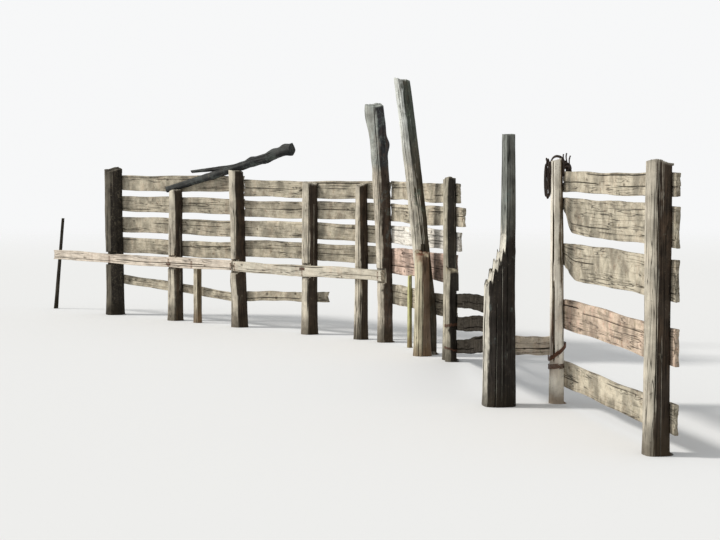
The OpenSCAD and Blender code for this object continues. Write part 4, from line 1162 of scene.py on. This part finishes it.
# rust washed down from each nail: a short blot that thins out below it
def rustBelow(marks, rings, spots, side, thick):
    onSide = (np.abs(rings[..., 1]) < 0.3 * thick) if side == "front" else (rings[..., 1] > 0.7 * thick)
    for x, z in spots:
        down = z - rings[..., 2]
        wide = 0.007 + 0.05 * np.clip(down, 0, 0.1)
        blot = np.exp(-((rings[..., 0] - x) / wide) ** 2) * ease(down, -0.010, 0.0) * (1 - ease(down, 0.02, 0.10))
        marks["rust"] = np.maximum(marks["rust"], 0.7 * blot * onSide)


# the two ends of a board closed by rings drawn in to the middle, torn by the same splinters
def closeEnds(board, rings, marks, drawn=4):
    seed, inward = board["seed"], (1 - np.arange(1, drawn + 1) / (drawn + 0.5))[:, None]
    parts, partMarks = [], []
    for end, way in ((0, 1), (-1, -1)):
        edge = rings[end]
        middle = edge.mean(0)
        y = middle[1] + (edge[:, 1] - middle[1]) * inward
        z = middle[2] + (edge[:, 2] - middle[2]) * inward
        torn = board["farTear"] if way > 0 else board["nearTear"]
        x = middle[0] + (edge[:, 0] - middle[0]) * inward
        x = x + way * torn * 0.006 * np.abs(rough(y * 210, z * 120, 0, seed + 40, 3)) * (1 - inward ** 5)
        cap = {key: np.repeat(value[end][None], drawn, 0) for key, value in marks.items()}
        cap["grain"] = np.stack([y + 0.07, z + 0.11, x + 5.3 * seed], -1)
        cap["bare"] = np.ones(x.shape)
        cap["fissure"] = 0.8 * cap["fissure"] * inward
        order = slice(None, None, -1) if way > 0 else slice(None)
        parts.append(np.stack([x, y, z], -1)[order])
        partMarks.append({key: value[order] for key, value in cap.items()})
    whole = {key: np.concatenate([partMarks[0][key], marks[key], partMarks[1][key]]) for key in marks}
    return np.concatenate([parts[0], rings, parts[1]]), whole


nailPlaces = []
for node, given in boards.items():
    board = {**boardDefaults, **given}
    chance = np.random.default_rng(500 + board["seed"])
    board["tone"] = board.get("tone", 1 + 0.10 * chance.uniform(-1, 1))
    rings, marks = boardRings(board, chance)
    side = board.get("nailSide", "back")
    spots = []
    for nailAt in board["nails"]:
        x = nailAt - board["at"][0]
        x = min(max(x, 0.018), board["length"] - 0.018)
        middle = board["tilt"] * (x / board["length"] - 0.5)
        for up in (-0.26, 0.26):
            z = up * board["width"] + chance.uniform(-0.008, 0.008)
            if z > brokenCorner(board, x) - board["width"] / 2 + 0.015:
                spots.append((x, middle + z))
    rustBelow(marks, rings, spots, side, board["thick"])
    rings, marks = closeEnds(board, rings, marks)
    rings = outOf(board["line"], rings + np.array(board["at"]))
    skin(node + "_timber", rings, marks, finishOf(node), node)
    for x, z in spots:
        y = 0.0 if side == "front" else board["thick"]
        nailPlaces.append((board["line"], board["at"][0] + x, board["at"][1] + y, board["at"][2] + z,
                           -1 if side == "front" else 1))
print("boards and rails:", len(boards), "nails:", len(nailPlaces))

# nail heads: low domes of iron driven almost flush, each a little askew
nail = {"radius": 0.0052, "rise": 0.0016, "proud": 0.0004, "cols": 10}
turn = np.linspace(0, 2 * math.pi, nail["cols"], endpoint=False)[None]
profile = np.array([(0.35, -0.008), (0.55, -0.002), (1.0, -0.0012), (1.0, 0.0002), (0.72, 0.0012), (0.3, nail["rise"])])
domes = []
chance = np.random.default_rng(77)
for line, x, y, z, way in nailPlaces:
    size = nail["radius"] * chance.uniform(0.85, 1.1)
    lean = chance.uniform(-0.12, 0.12, 2)
    r, out = profile[:, :1] * size, profile[:, 1:]
    px, pz = r * np.cos(turn), r * np.sin(turn)
    py = way * (out + nail["proud"]) + lean[0] * px + lean[1] * pz + 0 * turn
    domes.append(outOf(line, np.stack([x + px, y - way * nail["rise"] + py, z + pz], -1)))
skin("nail_heads", np.array(domes), {}, rustyIron)

# wire bound round timbers: the taut line round the outline of what it holds, turn upon turn
wire = {"thick": 0.0022, "sides": 6, "steps": 56}


# a tube of the given radius along a path, its rings square to the path and turned by a fixed direction
def tube(path, radius, sides, guide):
    ahead = np.gradient(path, axis=0)
    ahead /= np.linalg.norm(ahead, axis=1, keepdims=True)
    out = np.cross(ahead, np.array(guide, dtype=float))
    out /= np.maximum(np.linalg.norm(out, axis=1, keepdims=True), 1e-9)
    up = np.cross(out, ahead)
    around = np.linspace(0, 2 * math.pi, sides, endpoint=False)
    return path[:, None] + radius * (out[:, None] * np.cos(around)[None, :, None]
                                     + up[:, None] * np.sin(around)[None, :, None])


# the taut line round flat points: for each direction the furthest point, and the side step to the line's contact
def tautLine(corners, room, steps):
    way = np.linspace(0, 2 * math.pi, steps, endpoint=False)
    normal = np.stack([np.cos(way), np.sin(way)], -1)
    reach = (corners @ normal.T).max(0) + room
    slope = (np.roll(reach, -1) - np.roll(reach, 1)) / (2 * (way[1] - way[0]))
    return normal * reach[:, None] + np.stack([-np.sin(way), np.cos(way)], -1) * slope[:, None]


# corners of a round timber and of a flat one, in a line's frame
def roundTimber(x, y, width):
    a = np.linspace(0, 2 * math.pi, 32, endpoint=False)
    return np.stack([x + width / 2 * np.cos(a), y + width / 2 * np.sin(a)], -1)


def flatTimber(x, width, yLow, yHigh):
    return np.array([[x - width, yLow], [x + width, yLow], [x + width, yHigh], [x - width, yHigh]])


def railTie(bays, z, turns, slope):
    x = -bays * fence["bay"]
    return {"line": "run", "z": z, "turns": turns, "step": 0.006, "slope": slope,
            "holds": [roundTimber(x + 0.004, postY(bear, fence["runPostWidth"]), 0.155),
                      flatTimber(x, 0.03, frontPlane - fence["frontRailThick"], frontPlane)]}


def stubTie(z, turns, slope):
    return {"line": "gateway", "z": z, "turns": turns, "step": 0.006, "slope": slope,
            "holds": [roundTimber(stubX, postY(gatePlane, fence["stubWidth"]), 0.120),
                      flatTimber(stubX, 0.03, gatePlane, gatePlane + fence["gateRailThick"])]}


# each binding: its line, the outline it holds, its height, turns, step and slope
bindings = {
    "tie_far_post": railTie(3, 0.585, 3, 0.018), "tie_near_post": railTie(1, 0.590, 4, -0.016),
    "tie_gate_stub": stubTie(0.290, 4, 0.014), "tie_gate_stub_low": stubTie(0.092, 3, -0.012),
    "lashing_step_board": {
        "line": "yard", "z": 0.332, "turns": 5, "step": 0.0062, "slope": 0.050, "thick": 0.0028,
        "holds": [roundTimber(sidePostAt[0], sidePostAt[1] - 0.003, 0.110),
                  np.array([[fence["stepPlane"] - fence["boardThick"], sidePostAt[1] + 0.049],
                            [fence["stepPlane"] - fence["boardThick"], sidePostAt[1] - 0.045]])]},
    "lashing_under_board": {
        "line": "yard", "z": 0.236, "turns": 4, "step": 0.0085, "slope": 0.010, "thick": 0.0028,
        "holds": [roundTimber(sidePostAt[0], sidePostAt[1] - 0.003, 0.112)]},
}
for name, tie in bindings.items():
    corners = np.concatenate(tie["holds"])
    middle = corners.mean(0)
    thick = tie.get("thick", wire["thick"])
    loop = tautLine(corners - middle, thick * 0.9, wire["steps"]) + middle
    count = int(tie["turns"] * wire["steps"])
    order = np.arange(count) % wire["steps"]
    run = np.arange(count) / wire["steps"]
    height = tie["z"] + run * tie["step"] + tie["slope"] * np.sin(2 * math.pi * run)
    swell = 1 + 0.004 * np.sin(run * 9.1)
    path = np.stack([middle[0] + (loop[order, 0] - middle[0]) * swell,
                     middle[1] + (loop[order, 1] - middle[1]) * swell, height], -1)
    skin(name, tube(outOf(tie["line"], path), thick, wire["sides"], (0, 0, 1)), {}, rustyIron)
print("bindings:", len(bindings))

# old wire wound over the head of the plain stile post: strands over the top, loops that hang down its two sides and
# broken ends that stand up. Every path is given across the post, as the camera sees it, and by height
headWire = {
    "middle": (sidePostAt[0], sidePostAt[1] - 0.014), "right": (0.258, 0.966), "away": (-0.966, 0.258),
    "thick": 0.0050, "guide": (0.83, 0.17, 0.53),
    "strands": [(-0.046, 1.50, 1.650, 0.046, 1.56, 0.016), (-0.049, 1.46, 1.655, 0.050, 1.58, -0.004),
                (-0.044, 1.54, 1.647, 0.047, 1.55, -0.020)],
    "loops": [(-0.058, 1.500, 0.014, 0.135, 0.006, 2.6), (-0.048, 1.510, 0.008, 0.105, -0.014, 2.3),
              (-0.070, 1.490, 0.010, 0.110, 0.020, 1.8), (-0.052, 1.440, 0.012, 0.060, 0.000, 2.4),
              (0.062, 1.560, 0.022, 0.050, 0.004, 4.4), (0.070, 1.550, 0.026, 0.036, -0.016, 3.2),
              (0.054, 1.565, 0.012, 0.056, 0.020, 2.6), (0.066, 1.566, 0.030, 0.040, -0.004, 3.6),
              (0.060, 1.545, 0.017, 0.044, 0.012, 3.6), (0.078, 1.572, 0.016, 0.028, 0.002, 3.2)],
    "ends": [(0.052, 1.575, 0.046, 1.665, 0.0), (0.064, 1.570, 0.067, 1.672, 0.008),
             (0.074, 1.560, 0.092, 1.655, -0.008), (-0.060, 1.585, -0.066, 1.640, 0.004)]}


def acrossPost(u, z, depth):
    mx, my = headWire["middle"]
    (rx, ry), (ax, ay) = headWire["right"], headWire["away"]
    return np.stack([mx + u * rx + depth * ax, my + u * ry + depth * ay, z + 0 * u], -1)


def headWires():
    wires = []
    for left, leftZ, top, right, rightZ, depth in headWire["strands"]:
        s = np.linspace(0, 1, 40)
        u = left + (right - left) * (0.5 - 0.5 * np.cos(math.pi * s))
        side = np.where(s < 0.5, leftZ, rightZ)
        wires.append(acrossPost(u, side + (top - side) * np.sin(math.pi * s) ** 0.5, depth + 0.006 * np.sin(9 * s)))
    for u, z, wide, high, depth, turns in headWire["loops"]:
        s = np.linspace(0, turns, int(turns * 30))
        a = 2 * math.pi * s
        wires.append(acrossPost(u + wide * np.cos(a) * (1 - 0.06 * s), z + high * np.sin(a) * (1 - 0.05 * s),
                                depth + 0.005 * s + 0.003 * np.sin(2.3 * a)))
    for u, z, toU, toZ, depth in headWire["ends"]:
        s = np.linspace(0, 1, 10)
        wires.append(acrossPost(u + (toU - u) * s + 0.004 * np.sin(6 * s), z + (toZ - z) * s, depth + 0.01 * s))
    return wires


for number, path in enumerate(headWires()):
    skin(f"head_wire_{number + 1}", tube(path, headWire["thick"], wire["sides"], headWire["guide"]), {}, darkIron)
print("wire over the stile post's head")

# light: a large soft lamp over the yard and an even surround, so a colour renders about as it is written
light = {"lamp": 2.65, "spread": 12.0, "surround": 0.60, "from": (-0.223, -0.778, 0.588),
         "lampTint": (1.0, 0.975, 0.94), "evenTint": (0.96, 0.98, 1.0, 1), "paleTint": (0.93, 0.935, 0.94, 1)}
lamp = bpy.data.lights.new("softLamp", "SUN")
lamp.energy = light["lamp"]
lamp.angle = math.radians(light["spread"])
lamp.color = light["lampTint"]
lampObject = bpy.data.objects.new("softLamp", lamp)
lampObject.rotation_euler = Vector(light["from"]).to_track_quat("Z", "Y").to_euler()
bpy.context.scene.collection.objects.link(lampObject)

world = bpy.data.worlds.new("surround")
bpy.context.scene.world = world
world.use_nodes = True
surround = world.node_tree
surround.nodes.clear()
path = place(surround, "LightPath")
seen = reckon(surround, "MAXIMUM", path.outputs["Is Camera Ray"], path.outputs["Is Glossy Ray"])
seen = reckon(surround, "MAXIMUM", seen, path.outputs["Is Transmission Ray"])
even = place(surround, "Background", {"Color": light["evenTint"], "Strength": light["surround"]}).outputs[0]
pale = place(surround, "Background", {"Color": light["paleTint"], "Strength": 1.0}).outputs[0]
mixed = place(surround, "MixShader", {0: seen, 1: even, 2: pale}).outputs[0]
surround.links.new(mixed, place(surround, "OutputWorld").inputs["Surface"])

# the floor: a wide pale disc that thins out into the surround far from the fence
floor = {"radius": 60.0, "solid": 12.0, "gone": 34.0, "middle": (-3.0, -0.6), "sides": 96, "level": -0.0005,
         "tint": (0.80, 0.80, 0.79, 1)}
around = np.linspace(0, 2 * math.pi, floor["sides"], endpoint=False)
disc = [(floor["middle"][0] + floor["radius"] * math.cos(a), floor["middle"][1] + floor["radius"] * math.sin(a),
         floor["level"]) for a in around]
floorMesh = bpy.data.meshes.new("floor")
floorMesh.from_pydata(disc, [], [list(range(floor["sides"]))])
floorObject = bpy.data.objects.new("floor", floorMesh)
bpy.context.scene.collection.objects.link(floorObject)
floorPaint, tree, shader = newMaterial("floorPaint")
shader.inputs["Base Color"].default_value = floor["tint"]
shader.inputs["Roughness"].default_value = 0.95
shader.inputs["Specular IOR Level"].default_value = 0.0
away = place(tree, "VectorMath", {0: place(tree, "TexCoord").outputs["Object"], 1: (*floor["middle"], 0)},
             operation="DISTANCE").outputs["Value"]
clear = place(tree, "BsdfTransparent").outputs[0]
faded = place(tree, "MixShader", {0: remap(tree, away, floor["solid"], floor["gone"]), 1: shader.outputs[0],
                                  2: clear}).outputs[0]
tree.links.new(faded, tree.nodes["Material Output"].inputs["Surface"])
floorMesh.materials.append(floorPaint)

bpy.context.scene.view_settings.view_transform = "Standard"
print("light and floor set")

bpy.context.view_layer.update()
